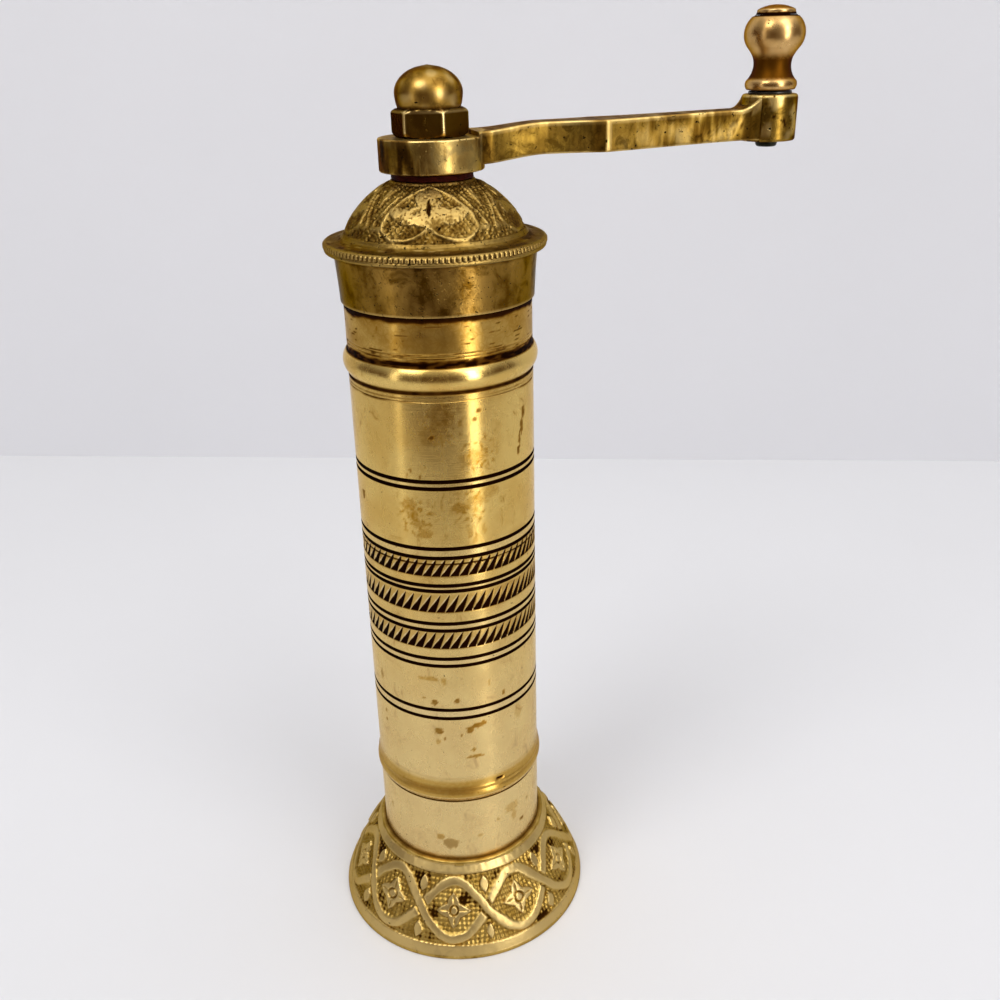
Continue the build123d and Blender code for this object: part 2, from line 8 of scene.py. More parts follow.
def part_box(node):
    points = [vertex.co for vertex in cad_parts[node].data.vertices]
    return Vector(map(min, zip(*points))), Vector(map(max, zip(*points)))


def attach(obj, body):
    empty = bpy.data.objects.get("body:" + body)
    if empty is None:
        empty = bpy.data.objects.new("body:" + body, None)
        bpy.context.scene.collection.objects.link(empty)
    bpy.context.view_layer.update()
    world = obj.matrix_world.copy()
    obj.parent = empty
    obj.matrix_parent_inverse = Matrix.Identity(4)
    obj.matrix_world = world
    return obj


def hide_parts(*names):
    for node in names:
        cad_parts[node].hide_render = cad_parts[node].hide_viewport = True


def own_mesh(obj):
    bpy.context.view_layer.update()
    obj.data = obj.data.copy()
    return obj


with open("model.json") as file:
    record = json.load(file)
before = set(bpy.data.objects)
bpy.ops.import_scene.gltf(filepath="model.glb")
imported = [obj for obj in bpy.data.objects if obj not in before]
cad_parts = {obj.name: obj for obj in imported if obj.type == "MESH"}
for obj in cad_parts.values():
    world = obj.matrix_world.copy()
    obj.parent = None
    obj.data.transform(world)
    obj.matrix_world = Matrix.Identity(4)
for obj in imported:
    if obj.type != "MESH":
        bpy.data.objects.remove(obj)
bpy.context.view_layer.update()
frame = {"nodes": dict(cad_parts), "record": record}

# Brass pepper mill with a crank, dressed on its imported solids. Outlines are written in
# millimetres as (radius, height) or (radius, height, rounding of that corner).

MM = 0.001
ROUND_STEPS = 3
SMOOTH_ANGLE = math.radians(40)
MERGE_M = 1e-7
# What a mesh notes at its vertices: settled black dirt, amber water stains, places rubbed bright; on some
# pieces these also carry painted shade, painted dark reflection and painted highlights
MARKS = ("grime", "stain", "rub")

# Where the photograph was taken from, as a direction round the mill's axis
CAMERA_SIDE = math.radians(-101)

# Heights and radii shared with the solids
RIM_Z = 37.4
SHOULDER_Z = 149.7
FLANGE_Z = 159.3
DOME_Z = 153.9
DOME_R = 20.0
SEAT_R = 8.0
SEAT_Z = 172.23
SHAFT_HOLE_R = 4.3
HUB_Z = 173.73
HUB_TOP_Z = 179.83
ARM_T = 5.9
CRANK_X = 70.0
BOSS_Z = 176.13
BOSS_TOP_Z = 185.03
KNOB_Z = 185.73
RIVET_R = 1.85
RIVET_HOLE_R = 1.9
BORE_R = 17.0
TUBE_R = 19.0
BAND_LOW = 72.0
BAND_HIGH = 104.0
BAND_SEAT_R = 18.2


def bow(start, end, rise, count):
    """Points of an arc after its start, bulging by rise to the right of the way to its end."""
    across = end[0] - start[0]
    up = end[1] - start[1]
    chord = math.hypot(across, up)
    half_angle = 2 * math.atan(2 * rise / chord)
    radius = chord / (2 * math.sin(half_angle))
    points = []
    for step in range(1, count + 1):
        angle = half_angle * (2 * step / count - 1)
        along = (chord / 2 + radius * math.sin(angle)) / chord
        out = radius * (math.cos(angle) - math.cos(half_angle)) / chord
        points.append((start[0] + along * across + out * up, start[1] + along * up - out * across))
    return points


def turn(outline, steps, wedges=1):
    """Spin a closed outline about the Z axis in equal wedges, after rounding the corners that ask for it."""
    bm = bmesh.new()
    corners = [bm.verts.new((r * MM, 0, z * MM)) for r, z, *_ in outline]
    for pair in zip(corners, corners[1:] + corners[:1]):
        bm.edges.new(pair)
    for rounding in sorted({point[2] for point in outline if len(point) == 3}):
        chosen = [corner for corner, point in zip(corners, outline) if point[2:] == (rounding,)]
        bmesh.ops.bevel(
            bm, geom=chosen + bm.edges[:], offset=rounding * MM, offset_type="OFFSET", affect="VERTICES",
            segments=ROUND_STEPS, profile=0.5, material=-1, clamp_overlap=True,
        )
    bmesh.ops.spin(
        bm, geom=bm.verts[:] + bm.edges[:], axis=(0, 0, 1), cent=(0, 0, 0), dvec=(0, 0, 0),
        angle=2 * math.pi / wedges, steps=steps // wedges, use_merge=wedges == 1, use_duplicate=False,
    )
    wedge = bm.verts[:] + bm.edges[:] + bm.faces[:]
    for number in range(1, wedges):
        copied = bmesh.ops.duplicate(bm, geom=wedge)["geom"]
        bmesh.ops.rotate(
            bm, verts=[v for v in copied if isinstance(v, bmesh.types.BMVert)], cent=(0, 0, 0),
            matrix=Matrix.Rotation(2 * math.pi * number / wedges, 3, "Z"),
        )
    bmesh.ops.remove_doubles(bm, verts=bm.verts[:], dist=MERGE_M)
    bmesh.ops.recalc_face_normals(bm, faces=bm.faces[:])
    return bm


def carve(bm, shape):
    """Sink each vertex along its normal by the depth in mm that shape gives, and keep the marks with it."""
    bm.normal_update()
    layers = [bm.verts.layers.float.get(mark) or bm.verts.layers.float.new(mark) for mark in MARKS]
    sunk = []
    for vert in bm.verts:
        x, y, z = vert.co / MM
        depth, *marks = shape(math.atan2(y, x), math.hypot(x, y), z)
        for layer, mark in zip(layers, marks):
            vert[layer] = min(1, max(vert[layer], mark))
        if depth:
            sunk.append((vert, vert.co - vert.normal * depth * MM))
    for vert, place in sunk:
        vert.co = place
    return bm


mill = bpy.data.collections.new("mill")


def piece(name, bm, body, slot, material, *nodes):
    """Closed, outward-facing mesh that rides on a body and stands for its CAD nodes."""
    bmesh.ops.remove_doubles(bm, verts=bm.verts[:], dist=MERGE_M)
    bmesh.ops.recalc_face_normals(bm, faces=bm.faces[:])
    mesh = bpy.data.meshes.new(name)
    bm.to_mesh(mesh)
    bm.free()
    mesh.materials.append(material)
    mesh.shade_smooth()
    mesh.set_sharp_from_angle(angle=SMOOTH_ANGLE)
    made = bpy.data.objects.new(name, mesh)
    bpy.context.scene.collection.objects.link(made)
    mill.objects.link(made)
    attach(made, body)
    if nodes:
        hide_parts(*nodes)
    return made


def step_up(value, low, high):
    """0 below low, 1 above high, smooth between."""
    t = min(1, max(0, (value - low) / (high - low)))
    return t * t * (3 - 2 * t)


def rough(x, y, z, size):
    """Smooth wandering value from -1 to 1 with patches of about that size."""
    return noise.noise(Vector((x, y, z)) / size)


# Materials


def linear(hex_colour):
    """sRGB hex to linear RGBA."""
    parts = [int(hex_colour[i:i + 2], 16) / 255 for i in (1, 3, 5)]
    return (*[p / 12.92 if p <= 0.04045 else ((p + 0.055) / 1.055) ** 2.4 for p in parts], 1)


def feed(tree, node, inputs):
    """Set a node's inputs, each to a value or to another node's output."""
    for key, value in inputs.items():
        if isinstance(value, bpy.types.NodeSocket):
            tree.links.new(value, node.inputs[key])
        else:
            node.inputs[key].default_value = value


def add(tree, kind, inputs=None, **settings):
    """New node with its settings and inputs."""
    made = tree.nodes.new("ShaderNode" + kind)
    for key, value in settings.items():
        setattr(made, key, value)
    feed(tree, made, inputs or {})
    return made


def ranged(tree, value, low, high, to_low=0, to_high=1):
    """Value from low to high brought to another range, with soft ends."""
    inputs = {"Value": value, "From Min": low, "From Max": high, "To Min": to_low, "To Max": to_high}
    return add(tree, "MapRange", inputs, interpolation_type="SMOOTHSTEP").outputs["Result"]


def clouds(tree, place, size_mm, detail, roughness, distortion=0):
    """Noise with patches of about that size."""
    shape = {"Scale": 1000 / size_mm, "Detail": detail, "Roughness": roughness, "Distortion": distortion}
    return add(tree, "TexNoise", {"Vector": place, **shape}).outputs["Fac"]


def mixed(tree, amount, first, second):
    """Colour that goes from the first to the second with the amount."""
    return add(tree, "Mix", {0: amount, 6: first, 7: second}, data_type="RGBA").outputs[2]


def new_material(name):
    """Empty node material with its shader and output."""
    material = bpy.data.materials.new(name)
    material.use_nodes = True
    tree = material.node_tree
    return material, tree, tree.nodes["Principled BSDF"]


# Settled dirt, and painted shade, as a filter over the brass: thin it is a brown film, thick it is black
DIRT_AND_SHADE_TONES = ((0, "#FFFFFF"), (0.5, "#BCAD90"), (0.9, "#5C421E"), (1, "#241004"))


def aged_brass(
    name, clean, stain, dark, pit, rubbed, stain_mm, stain_from, stain_to, drip, shine, dull,
    pit_mm, pit_from, line_mm, line_bump, grain_bump, streak, rim,
):
    """Brass with blotches of tarnish, pits and tool marks, and the dirt, stains and rub noted in the mesh,
    which also carry painted shade, painted dark reflection and painted highlights.
    """
    material, tree, shader = new_material(name)
    place = add(tree, "TexCoord").outputs["Object"]
    hung = add(tree, "Mapping", {"Vector": place, "Scale": (1, 1, drip)}).outputs["Vector"]
    cloud = clouds(tree, hung, stain_mm, detail=6, roughness=0.66, distortion=0.6)
    blotch = ranged(tree, cloud, stain_from, stain_to)
    wide = clouds(tree, place, 3.1 * stain_mm, detail=3, roughness=0.5)
    shade = ranged(tree, wide, 0.35, 0.7, to_high=0.7)
    speck = clouds(tree, place, pit_mm, detail=3, roughness=0.55, distortion=0.3)
    pits = ranged(tree, speck, pit_from, pit_from + 0.06)
    dirt_and_shade, stains, rub_and_highlight_mask = [
        add(tree, "Attribute", attribute_name=mark).outputs["Fac"] for mark in MARKS
    ]
    fine = clouds(tree, place, 0.9, detail=4, roughness=0.6)
    # Dried drops leave a net of rims a couple of millimetres across, with specks between
    drops = add(
        tree, "TexVoronoi", {"Vector": place, "Scale": 1000 / 1.7}, feature="DISTANCE_TO_EDGE",
    ).outputs["Distance"]
    rims = ranged(tree, drops, 0.02, 0.16, to_low=1, to_high=0)
    specks = ranged(tree, fine, 0.4, 0.62, to_low=0.62)
    broken = add(tree, "Math", {0: rims, 1: specks}, operation="MAXIMUM").outputs[0]
    full = add(tree, "MapRange", {"Value": stains, "From Min": 0.85}).outputs["Result"]
    cover = add(tree, "Math", {0: broken, 1: full}, operation="MAXIMUM").outputs[0]
    dried = add(tree, "Math", {0: stains, 1: cover}, operation="MULTIPLY").outputs[0]
    film = add(tree, "Math", {0: blotch, 1: dried}, operation="MAXIMUM").outputs[0]
    shaded = mixed(tree, shade, linear(clean), linear(dark))
    stained = mixed(tree, film, shaded, linear(stain))
    # The rubbed tone also paints highlights, and the stain tone painted dark reflection, where the marks put
    # them
    bright = mixed(tree, rub_and_highlight_mask, stained, linear(rubbed))
    pitted = mixed(tree, pits, bright, linear(pit))
    dirt = add(tree, "ValToRGB", {"Fac": dirt_and_shade})
    tones = dirt.color_ramp.elements
    for place_on_ramp, _ in DIRT_AND_SHADE_TONES[1:-1]:
        tones.new(place_on_ramp)
    for element, (_, tone) in zip(tones, DIRT_AND_SHADE_TONES):
        element.color = linear(tone)
    colour = add(
        tree, "Mix", {0: 1.0, 6: pitted, 7: dirt.outputs["Color"]}, data_type="RGBA", blend_type="MULTIPLY",
    ).outputs[2]
    edge = mixed(tree, dirt_and_shade, linear(rim), linear("#3A1C06"))
    polish = add(
        tree, "MapRange",
        {"Value": cloud, "From Min": 0.3, "From Max": 0.75, "To Min": shine, "To Max": dull},
    ).outputs["Result"]
    finish = add(tree, "Mix", {0: dirt_and_shade, 2: polish, 3: 0.75}, data_type="FLOAT").outputs[0]
    metal = add(tree, "MapRange", {"Value": dirt_and_shade, "To Min": 1, "To Max": 0.8}).outputs["Result"]
    ringed = add(tree, "Mapping", {"Vector": place, "Scale": (0.02, 0.02, 1)}).outputs["Vector"]
    lines = clouds(tree, ringed, line_mm, detail=3, roughness=0.7)
    turned = add(
        tree, "Bump", {"Height": lines, "Strength": line_bump, "Distance": 0.05 * MM},
    ).outputs["Normal"]
    sunk = add(
        tree, "Bump", {"Height": pits, "Strength": 0.6, "Distance": 0.08 * MM, "Normal": turned},
        invert=True,
    ).outputs["Normal"]
    worn = add(
        tree, "Bump", {"Height": fine, "Strength": grain_bump, "Distance": 0.1 * MM, "Normal": sunk},
    ).outputs["Normal"]
    surface = {
        "Base Color": colour, "Roughness": finish, "Metallic": metal, "Normal": worn, "Specular Tint": edge
    }
    feed(tree, shader, surface)
    if streak:
        # Fine turning lines run round the piece, so highlights are drawn out up and down it
        around = add(tree, "Tangent", direction_type="RADIAL", axis="Z").outputs["Tangent"]
        feed(tree, shader, {"Anisotropic": streak, "Anisotropic Rotation": 0.25, "Tangent": around})
    return material


# Drawn brass tube, lathe-polished long ago: a pale gold mirror softened by hairlines, amber water stains
tube_brass = aged_brass(
    "polished_drawn_brass", clean="#D9B868", stain="#A87A22", dark="#C8A04C", pit="#0C0804",
    rubbed="#E2CD9E", stain_mm=3.0, stain_from=0.57, stain_to=0.72, drip=0.6, shine=0.2, dull=0.34,
    pit_mm=0.9, pit_from=0.70, line_mm=0.35, line_bump=0.25, grain_bump=0.05, streak=0.7, rim="#FFF4DC",
)
# Spun brass skirt of the lid under decades of handling: thin olive-brown film, reddish in places, still
# glossy
lid_brass = aged_brass(
    "tarnished_spun_brass", clean="#A07C3A", stain="#5E400C", dark="#7A5A1A", pit="#140D05",
    rubbed="#D0AE68", stain_mm=4.2, stain_from=0.46, stain_to=0.68, drip=0.9, shine=0.26, dull=0.4,
    pit_mm=0.45, pit_from=0.63, line_mm=0.4, line_bump=0.3, grain_bump=0.5, streak=0.6, rim="#C0B8A8",
)
# Chased brass dome: dull khaki gold, grainy, the high places rubbed pale and dirt left in the hollows
dome_brass = aged_brass(
    "chased_dome_brass", clean="#94783C", stain="#604514", dark="#785C24", pit="#181005",
    rubbed="#B89A5A", stain_mm=3.0, stain_from=0.48, stain_to=0.68, drip=1.0, shine=0.32, dull=0.46,
    pit_mm=0.7, pit_from=0.62, line_mm=0.4, line_bump=0.0, grain_bump=0.4, streak=0.0, rim="#A89C84",
)
# Sand-cast foot, tumbled and lightly filed: satin pale gold, golden in the hatched ground
foot_brass = aged_brass(
    "satin_cast_brass", clean="#BC9E56", stain="#80601C", dark="#9C7E3C", pit="#141006", rubbed="#D2B87E",
    stain_mm=3.5, stain_from=0.52, stain_to=0.72, drip=0.9, shine=0.32, dull=0.46, pit_mm=0.8,
    pit_from=0.68, line_mm=0.5, line_bump=0.0, grain_bump=0.3, streak=0.0, rim="#D8C49A",
)
# Cast crank, filed and much handled: olive-brown film and blow holes, edges rubbed to pale gold; the same
# pale paints highlights along the arm's edges and cusp
cast_brass = aged_brass(
    "handled_cast_brass", clean="#A88438", stain="#523C10", dark="#725A1C", pit="#140E05",
    rubbed="#E4C67E", stain_mm=3.0, stain_from=0.44, stain_to=0.64, drip=0.8, shine=0.26, dull=0.44,
    pit_mm=0.8, pit_from=0.65, line_mm=0.5, line_bump=0.1, grain_bump=0.4, streak=0.0, rim="#A89068",
)
# Milled and turned nut brass: dark brown patina on the flats, the cap rubbed to dull olive gold
nut_brass = aged_brass(
    "patinated_nut_brass", clean="#BC9446", stain="#624716", dark="#8C6A2A", pit="#181005",
    rubbed="#DCC080", stain_mm=4.0, stain_from=0.54, stain_to=0.72, drip=1.0, shine=0.28, dull=0.42,
    pit_mm=0.8, pit_from=0.68, line_mm=0.4, line_bump=0.1, grain_bump=0.25, streak=0.0, rim="#6E6452",
)
# Turned knob brass, kept bright by fingers: warm bronze gold with brown in the hollows
knob_brass = aged_brass(
    "hand_polished_knob_brass", clean="#C89850", stain="#70480E", dark="#A4742E", pit="#120B05",
    rubbed="#E0BE84", stain_mm=4.0, stain_from=0.52, stain_to=0.74, drip=1.0, shine=0.24, dull=0.38,
    pit_mm=0.9, pit_from=0.70, line_mm=0.4, line_bump=0.1, grain_bump=0.2, streak=0.4, rim="#A88C5C",
)
# Plain machined brass of the works: satin, lightly browned
plain_brass = aged_brass(
    "machined_brass", clean="#C6A050", stain="#A07530", dark="#A88038", pit="#2A2010", rubbed="#E2C680",
    stain_mm=6.0, stain_from=0.5, stain_to=0.75, drip=1.0, shine=0.28, dull=0.42, pit_mm=0.9,
    pit_from=0.74, line_mm=0.3, line_bump=0.2, grain_bump=0.08, streak=0.0, rim="#D8BC7C",
)


def plain_metal(name, light, dark, patch_mm, shine, dull, bump):
    """Bare metal with soft patches of a darker film."""
    material, tree, shader = new_material(name)
    place = add(tree, "TexCoord").outputs["Object"]
    cloud = clouds(tree, place, patch_mm, detail=6, roughness=0.65)
    film = ranged(tree, cloud, 0.35, 0.7)
    colour = mixed(tree, film, linear(light), linear(dark))
    finish = add(tree, "MapRange", {"Value": film, "To Min": shine, "To Max": dull}).outputs["Result"]
    grain = add(tree, "Bump", {"Height": cloud, "Strength": bump, "Distance": 0.1 * MM}).outputs["Normal"]
    feed(tree, shader, {"Base Color": colour, "Roughness": finish, "Normal": grain, "Metallic": 1})
    return material


# Bright drawn steel of shaft, screws and spring: grey with a light brown film of spice oil
steel = plain_metal(
    "bright_drawn_steel", light="#A9A8A6", dark="#7C7770", patch_mm=2.5, shine=0.24, dull=0.4, bump=0.1,
)
# Hardened iron of the burrs and the washer under the knob: nearly black, faintly glinting on edges
burr_steel = plain_metal(
    "hardened_burr_iron", light="#4A4845", dark="#262422", patch_mm=1.6, shine=0.36, dull=0.6, bump=0.3,
)
# Rivet end under the crank: brass gone black-green with oil
black_rivet = plain_metal(
    "oil_blackened_brass", light="#2E2E24", dark="#16170F", patch_mm=1.2, shine=0.3, dull=0.5, bump=0.3,
)


def vulcan_fibre():
    """Pressed red fibre washer: dull oxblood, with a fuzzy layered rim."""
    material, tree, shader = new_material("red_vulcan_fibre")
    place = add(tree, "TexCoord").outputs["Object"]
    layers = add(tree, "Mapping", {"Vector": place, "Scale": (0.25, 0.25, 1)}).outputs["Vector"]
    ply = clouds(tree, layers, 0.4, detail=5, roughness=0.7)
    tone = add(tree, "MapRange", {"Value": ply, "From Min": 0.3, "From Max": 0.7}).outputs["Result"]
    colour = mixed(tree, tone, linear("#1A0401"), linear("#400E05"))
    fuzz = add(tree, "Bump", {"Height": ply, "Strength": 0.5, "Distance": 0.15 * MM}).outputs["Normal"]
    feed(tree, shader, {"Base Color": colour, "Normal": fuzz, "Roughness": 0.7, "Specular IOR Level": 0.05})
    return material


red_fibre = vulcan_fibre()

# Foot: cast flare with a raised two-strand braid and flowers on hatched ground

FOOT_R = 29.98
FLARE_LOW_Z = 0.9
FLARE_TOP_R = 20.2
FLARE_TOP_Z = 19.4
FLARE_L = math.hypot(FOOT_R - FLARE_TOP_R, FLARE_TOP_Z - FLARE_LOW_Z)
EYES = 10
STRAND = 1.25
GROUND = 0.72
FIELD_LOW = 2.7
FIELD_HIGH = FLARE_L - 2.2
FIELD_MIDDLE = (FIELD_LOW + FIELD_HIGH) / 2
SWING = FIELD_MIDDLE - FIELD_LOW - STRAND
FLOWER = 0.76 * (SWING - STRAND)
PETAL = 0.46 * FLOWER
HATCH_MM = 1.1


def stroke(distance, half_width, edge=0.3):
    """1 inside a stroke of that half width, falling to 0 over its edge."""
    return 1 - step_up(abs(distance), half_width - edge / 2, half_width + edge / 2)


def almond(x, along, half_width, half_length, edge=0.3):
    """1 inside a pointed oval centred on 0."""
    reach = 1 - (along / half_length) ** 2
    if reach <= 0:
        return 0
    return 1 - step_up(abs(x), half_width * reach - edge / 2, half_width * reach + edge / 2)


def braid(angle, r, z):
    """Depth and marks of the foot's ornament: strands that pass over and under, a flower in each eye."""
    lean = (FOOT_R - FLARE_TOP_R) / FLARE_L
    rise = (FLARE_TOP_Z - FLARE_LOW_Z) / FLARE_L
    up = (FOOT_R - r) * lean + (z - FLARE_LOW_Z) * rise
    outside = (r - FOOT_R) * rise + (z - FLARE_LOW_Z) * lean > -0.4 and 0 < up < FLARE_L
    if not outside:
        corner = step_up(z, 19.6, 20.1) * (1 - step_up(r, 19.3, 19.9))
        return 0, 0.75 * corner, 0.6 * step_up(z, 19.0, 19.8) * step_up(
            rough(angle * 8, 0, 4, 1), -0.5, 0.3
        )
    hand = 0.16 * rough(angle * 9, up / 4, 0, 1)
    turn_share = angle / (2 * math.pi) * EYES + 0.03 * rough(angle * 7, up / 3, 2, 1)
    high = up - FIELD_MIDDLE + hand
    wave = SWING * math.cos(math.pi * turn_share)
    slope = SWING * math.sin(math.pi * turn_share) * EYES / (2 * r)
    steep = math.hypot(1, slope)
    falling, climbing = (high - wave) / steep, (high + wave) / steep
    if math.floor(turn_share) % 2:
        falling, climbing = climbing, falling
    over = stroke(falling, STRAND - 0.1, 0.75)
    under = stroke(climbing, STRAND - 0.1, 0.75)
    crossing = abs(turn_share % 1 - 0.5) < 0.3
    if crossing:
        under *= 1 - 0.8 * stroke(falling, STRAND + 0.3, 0.4)
    strand = max(over, under)
    crown = 0.1 * max(
        over * (falling / STRAND) ** 2, under * (climbing / STRAND) ** 2 if under > over else 0
    )
    x = ((turn_share + 0.5) % 1 - 0.5) * 2 * math.pi / EYES * r
    petals = max(almond(x, high, PETAL, FLOWER), almond(high, x, PETAL, FLOWER))
    centre = math.hypot(x, high)
    petals = max(min(petals, 1 - stroke(centre - 1.15, 0.18, 0.3)), stroke(centre, 0.9))
    vein = max(almond(x, abs(high) - 2.5, 0.16, 1.1, 0.2), almond(high, abs(x) - 2.5, 0.16, 1.1, 0.2))
    gap_x = ((turn_share % 1) - 0.5) * 2 * math.pi / EYES * r
    drop = almond(gap_x, abs(high) - 0.8 * SWING, 1.0, 2.0)
    border = 1 - step_up(up, FIELD_LOW - 0.3, FIELD_LOW + 0.15) + step_up(
        up, FIELD_HIGH - 0.15, FIELD_HIGH + 0.3
    )
    raised = min(1, max(0, strand, petals - 0.5 * vein, drop, border))
    cross = math.cos(math.pi * (x + high) / HATCH_MM) * math.cos(math.pi * (x - high) / HATCH_MM)
    low = 1 - raised
    worn = rough(angle * 20, up / 2, 3, 1)
    depth = low * (GROUND - 0.18 - 0.18 * cross) + raised * (crown + 0.05 * (1 + worn))
    patch = step_up(
        rough(angle * 6, up / 5, 9, 1) + 0.3 * rough(angle * 20, up / 2, 5, 1) - 0.25 * cross, 0.22, 0.5
    )
    tinted = 0.35 + 0.4 * step_up(rough(angle * 9, up / 3, 6, 1), -0.3, 0.4)
    edge_dirt = 4 * raised * low
    grime = low * (0.04 + 0.9 * patch) + 0.15 * edge_dirt * patch
    return depth, grime, low * tinted, 0.6 * raised * (1 - edge_dirt)


foot_outline = [
    (27.4, 0), (FOOT_R, 0, 0.25), (FOOT_R, FLARE_LOW_Z),
    *bow((FOOT_R, FLARE_LOW_Z), (FLARE_TOP_R, FLARE_TOP_Z), 0.85, 92), (FLARE_TOP_R, 20.3, 0.35),
    (19.02, 20.3), (19.02, 17.1), (27.4, 1.6),
]
piece(
    "foot_braided", carve(turn(foot_outline, EYES * 92, EYES), braid), "base", "cast_brass", foot_brass,
    "foot",
)

# Water stains and small hurts of the tube wall. Each is a soft-edged spot: degrees round from the
# camera's side, height, half width and half height in mm, amber stain, black dirt.
SPOTS = (
    (-8, 126.1, 0.55, 0.55, 1, 0.75), (-7, 126.6, 3.0, 2.4, 0.55, 0), (-1, 130.6, 2.6, 3.4, 0.6, 0),
    (16, 121.5, 2.8, 2.0, 0.55, 0), (57, 128.0, 0.55, 1.6, 0.9, 0.5), (55, 125.2, 0.5, 1.8, 0.9, 0.5),
    (52.5, 122.6, 0.45, 1.8, 0.9, 0.5), (51, 120.2, 0.5, 1.0, 0.9, 0.55), (21, 131.1, 0.8, 0.3, 0.6, 0.6),
    (18, 129.5, 0.6, 0.3, 0.6, 0.55), (-22, 119.2, 0.3, 0.6, 0.8, 0.4), (-16, 117.8, 0.3, 0.5, 0.6, 0.6),
    (-66, 110.5, 0.7, 1.2, 0.8, 0.4), (-24, 111.8, 1.8, 1.4, 0.75, 0), (-21, 109.3, 0.9, 1.5, 0.8, 0),
    (-18, 107.4, 1.6, 0.9, 0.7, 0), (-15, 105.6, 1.8, 1.3, 0.75, 0), (8, 111.0, 2.2, 1.3, 0.8, 0),
    (18, 112.4, 2.6, 1.2, 0.6, 0), (27, 113.6, 2.4, 1.4, 0.5, 0), (13, 105.4, 0.6, 1.4, 0.6, 0),
    (22, 105.6, 0.6, 1.2, 0.6, 0), (-18, 70.6, 2.6, 0.6, 0.75, 0), (-8, 70.2, 0.6, 1.2, 0.7, 0),
    (22, 68.4, 0.35, 1.2, 0.6, 0.1), (-60, 67.0, 0.5, 1.6, 0.6, 0.2), (-15, 64.5, 0.9, 0.8, 0.9, 0.35),
    (0, 65.0, 0.7, 0.5, 0.9, 0.35), (-22, 65.4, 0.4, 0.3, 0.7, 0.3), (33, 64.4, 0.35, 0.9, 0.8, 0.35),
    (-13, 57.0, 1.2, 0.8, 0.9, 0.35), (8, 57.0, 1.0, 1.0, 0.95, 0.4), (13, 57.9, 1.4, 0.7, 0.95, 0.4),
    (17, 58.3, 0.8, 0.8, 0.95, 0.35), (-58, 57.4, 0.4, 0.6, 0.6, 0.2), (-58, 55.0, 0.4, 0.6, 0.6, 0.2),
    (-9, 55.0, 0.3, 0.3, 0.7, 0.4), (2, 55.8, 0.35, 0.35, 0.7, 0.35), (-14, 54.0, 0.6, 1.0, 0.6, 0.05),
    (10, 51.6, 0.4, 0.8, 0.9, 0.25), (11, 49.6, 2.2, 0.5, 0.9, 0.25), (46, 57.5, 1.2, 2.0, 0.45, 0),
    (38, 31.5, 2.2, 1.6, 0.55, 0), (40, 28.8, 0.9, 1.6, 0.6, 0), (48, 26.0, 0.8, 0.5, 0.8, 0.5),
    (-9, 25.0, 2.0, 1.6, 0.25, 0.36), (-16, 26.8, 1.1, 0.9, 0.7, 0.12), (-60, 30.0, 0.4, 0.8, 0.5, 0.2),
    (12, 26.8, 0.6, 0.5, 0.5, 0.1), (26, 29.8, 0.4, 0.5, 0.6, 0.25), (55, 30.6, 0.4, 0.5, 0.6, 0.2),
)

# Middles of the places sprinkled with dried droplets: degrees round, height
DROPLETS = ((-20, 109), (14, 111), (0, 129), (20, 122))


def spotted(angle, z):
    """Stain and dirt of the spots at a place on the tube wall, with ragged outlines."""
    from_camera = (math.degrees(angle - CAMERA_SIDE) + 180) % 360 - 180
    ragged_edge = 0.28 * rough(
        from_camera / 2.0, z / 0.7, 0, 1
    ) + 0.2 * rough(from_camera / 0.8, z / 0.3, 4, 1)
    near = max(1 - math.hypot((from_camera - side) / 16, (z - height) / 6) for side, height in DROPLETS)
    droplet = step_up(rough(from_camera / 2.6, z / 0.85, 8, 1), 0.05, 0.3)
    stain, dirt = 0.95 * droplet * step_up(near, 0, 0.5), 0
    for side, height, half_width, half_height, amber, black in SPOTS:
        across = math.radians(from_camera - side) * TUBE_R / half_width
        above = (z - height) / half_height
        if abs(across) < 1.6 and abs(above) < 1.6:
            cover = 1 - step_up(math.hypot(across, above) + ragged_edge, 0.8, 1.02)
            stain = max(stain, amber * cover)
            dirt = max(dirt, black * cover)
    return stain, dirt


def rows(low, high, spacing):
    """Points up the tube wall between two heights."""
    count = round((high - low) / spacing)
    return [(TUBE_R, low + (high - low) * i / count) for i in range(count + 1)]


# Receiver cup: plain tube that stands in the foot


def cup_marks(angle, r, z):
    """Brown dirt in the corner on the foot, the seam under the body, water stains between."""
    if r < TUBE_R - 0.4:
        return 0, 0
    corner = 1 - step_up(z, 20.5, 21.4 + 0.5 * rough(angle * 6, 0, 0, 1))
    seam = step_up(z, RIM_Z - 0.3, RIM_Z - 0.1)
    stain, dirt = spotted(angle, z)
    return 0, max(
        0.35 * corner, 0.9 * seam, dirt
    ), max(0.95 * corner, stain), 0.5 * (1 - corner) * (1 - stain)


cup_outline = [
    (BORE_R, 1.6), (TUBE_R, 1.6), (TUBE_R, 19.8), *rows(20.2, RIM_Z - 0.5, 0.4), (TUBE_R, RIM_Z - 0.3),
    (TUBE_R, RIM_Z - 0.15), (TUBE_R, RIM_Z, 0.12), (BORE_R, RIM_Z, 0.3),
]
piece("cup_wall", carve(turn(cup_outline, 320, 8), cup_marks), "base", "tube_brass", tube_brass, "cup_tube")

# Body tube: beads, ring grooves, scribed lines, spigot under the lid

GROOVE_HALF = 0.4
GROOVE_DEPTH = 0.38
LOWER_GROOVES = (60.4, 62.6)
BAND_GROOVES = (74.0, 75.8, 82.8, 84.5, 92.3, 93.6, 100.0, 102.1)
UPPER_GROOVES = (115.4, 116.9)
NECK_LINES = (141.9, 142.6)


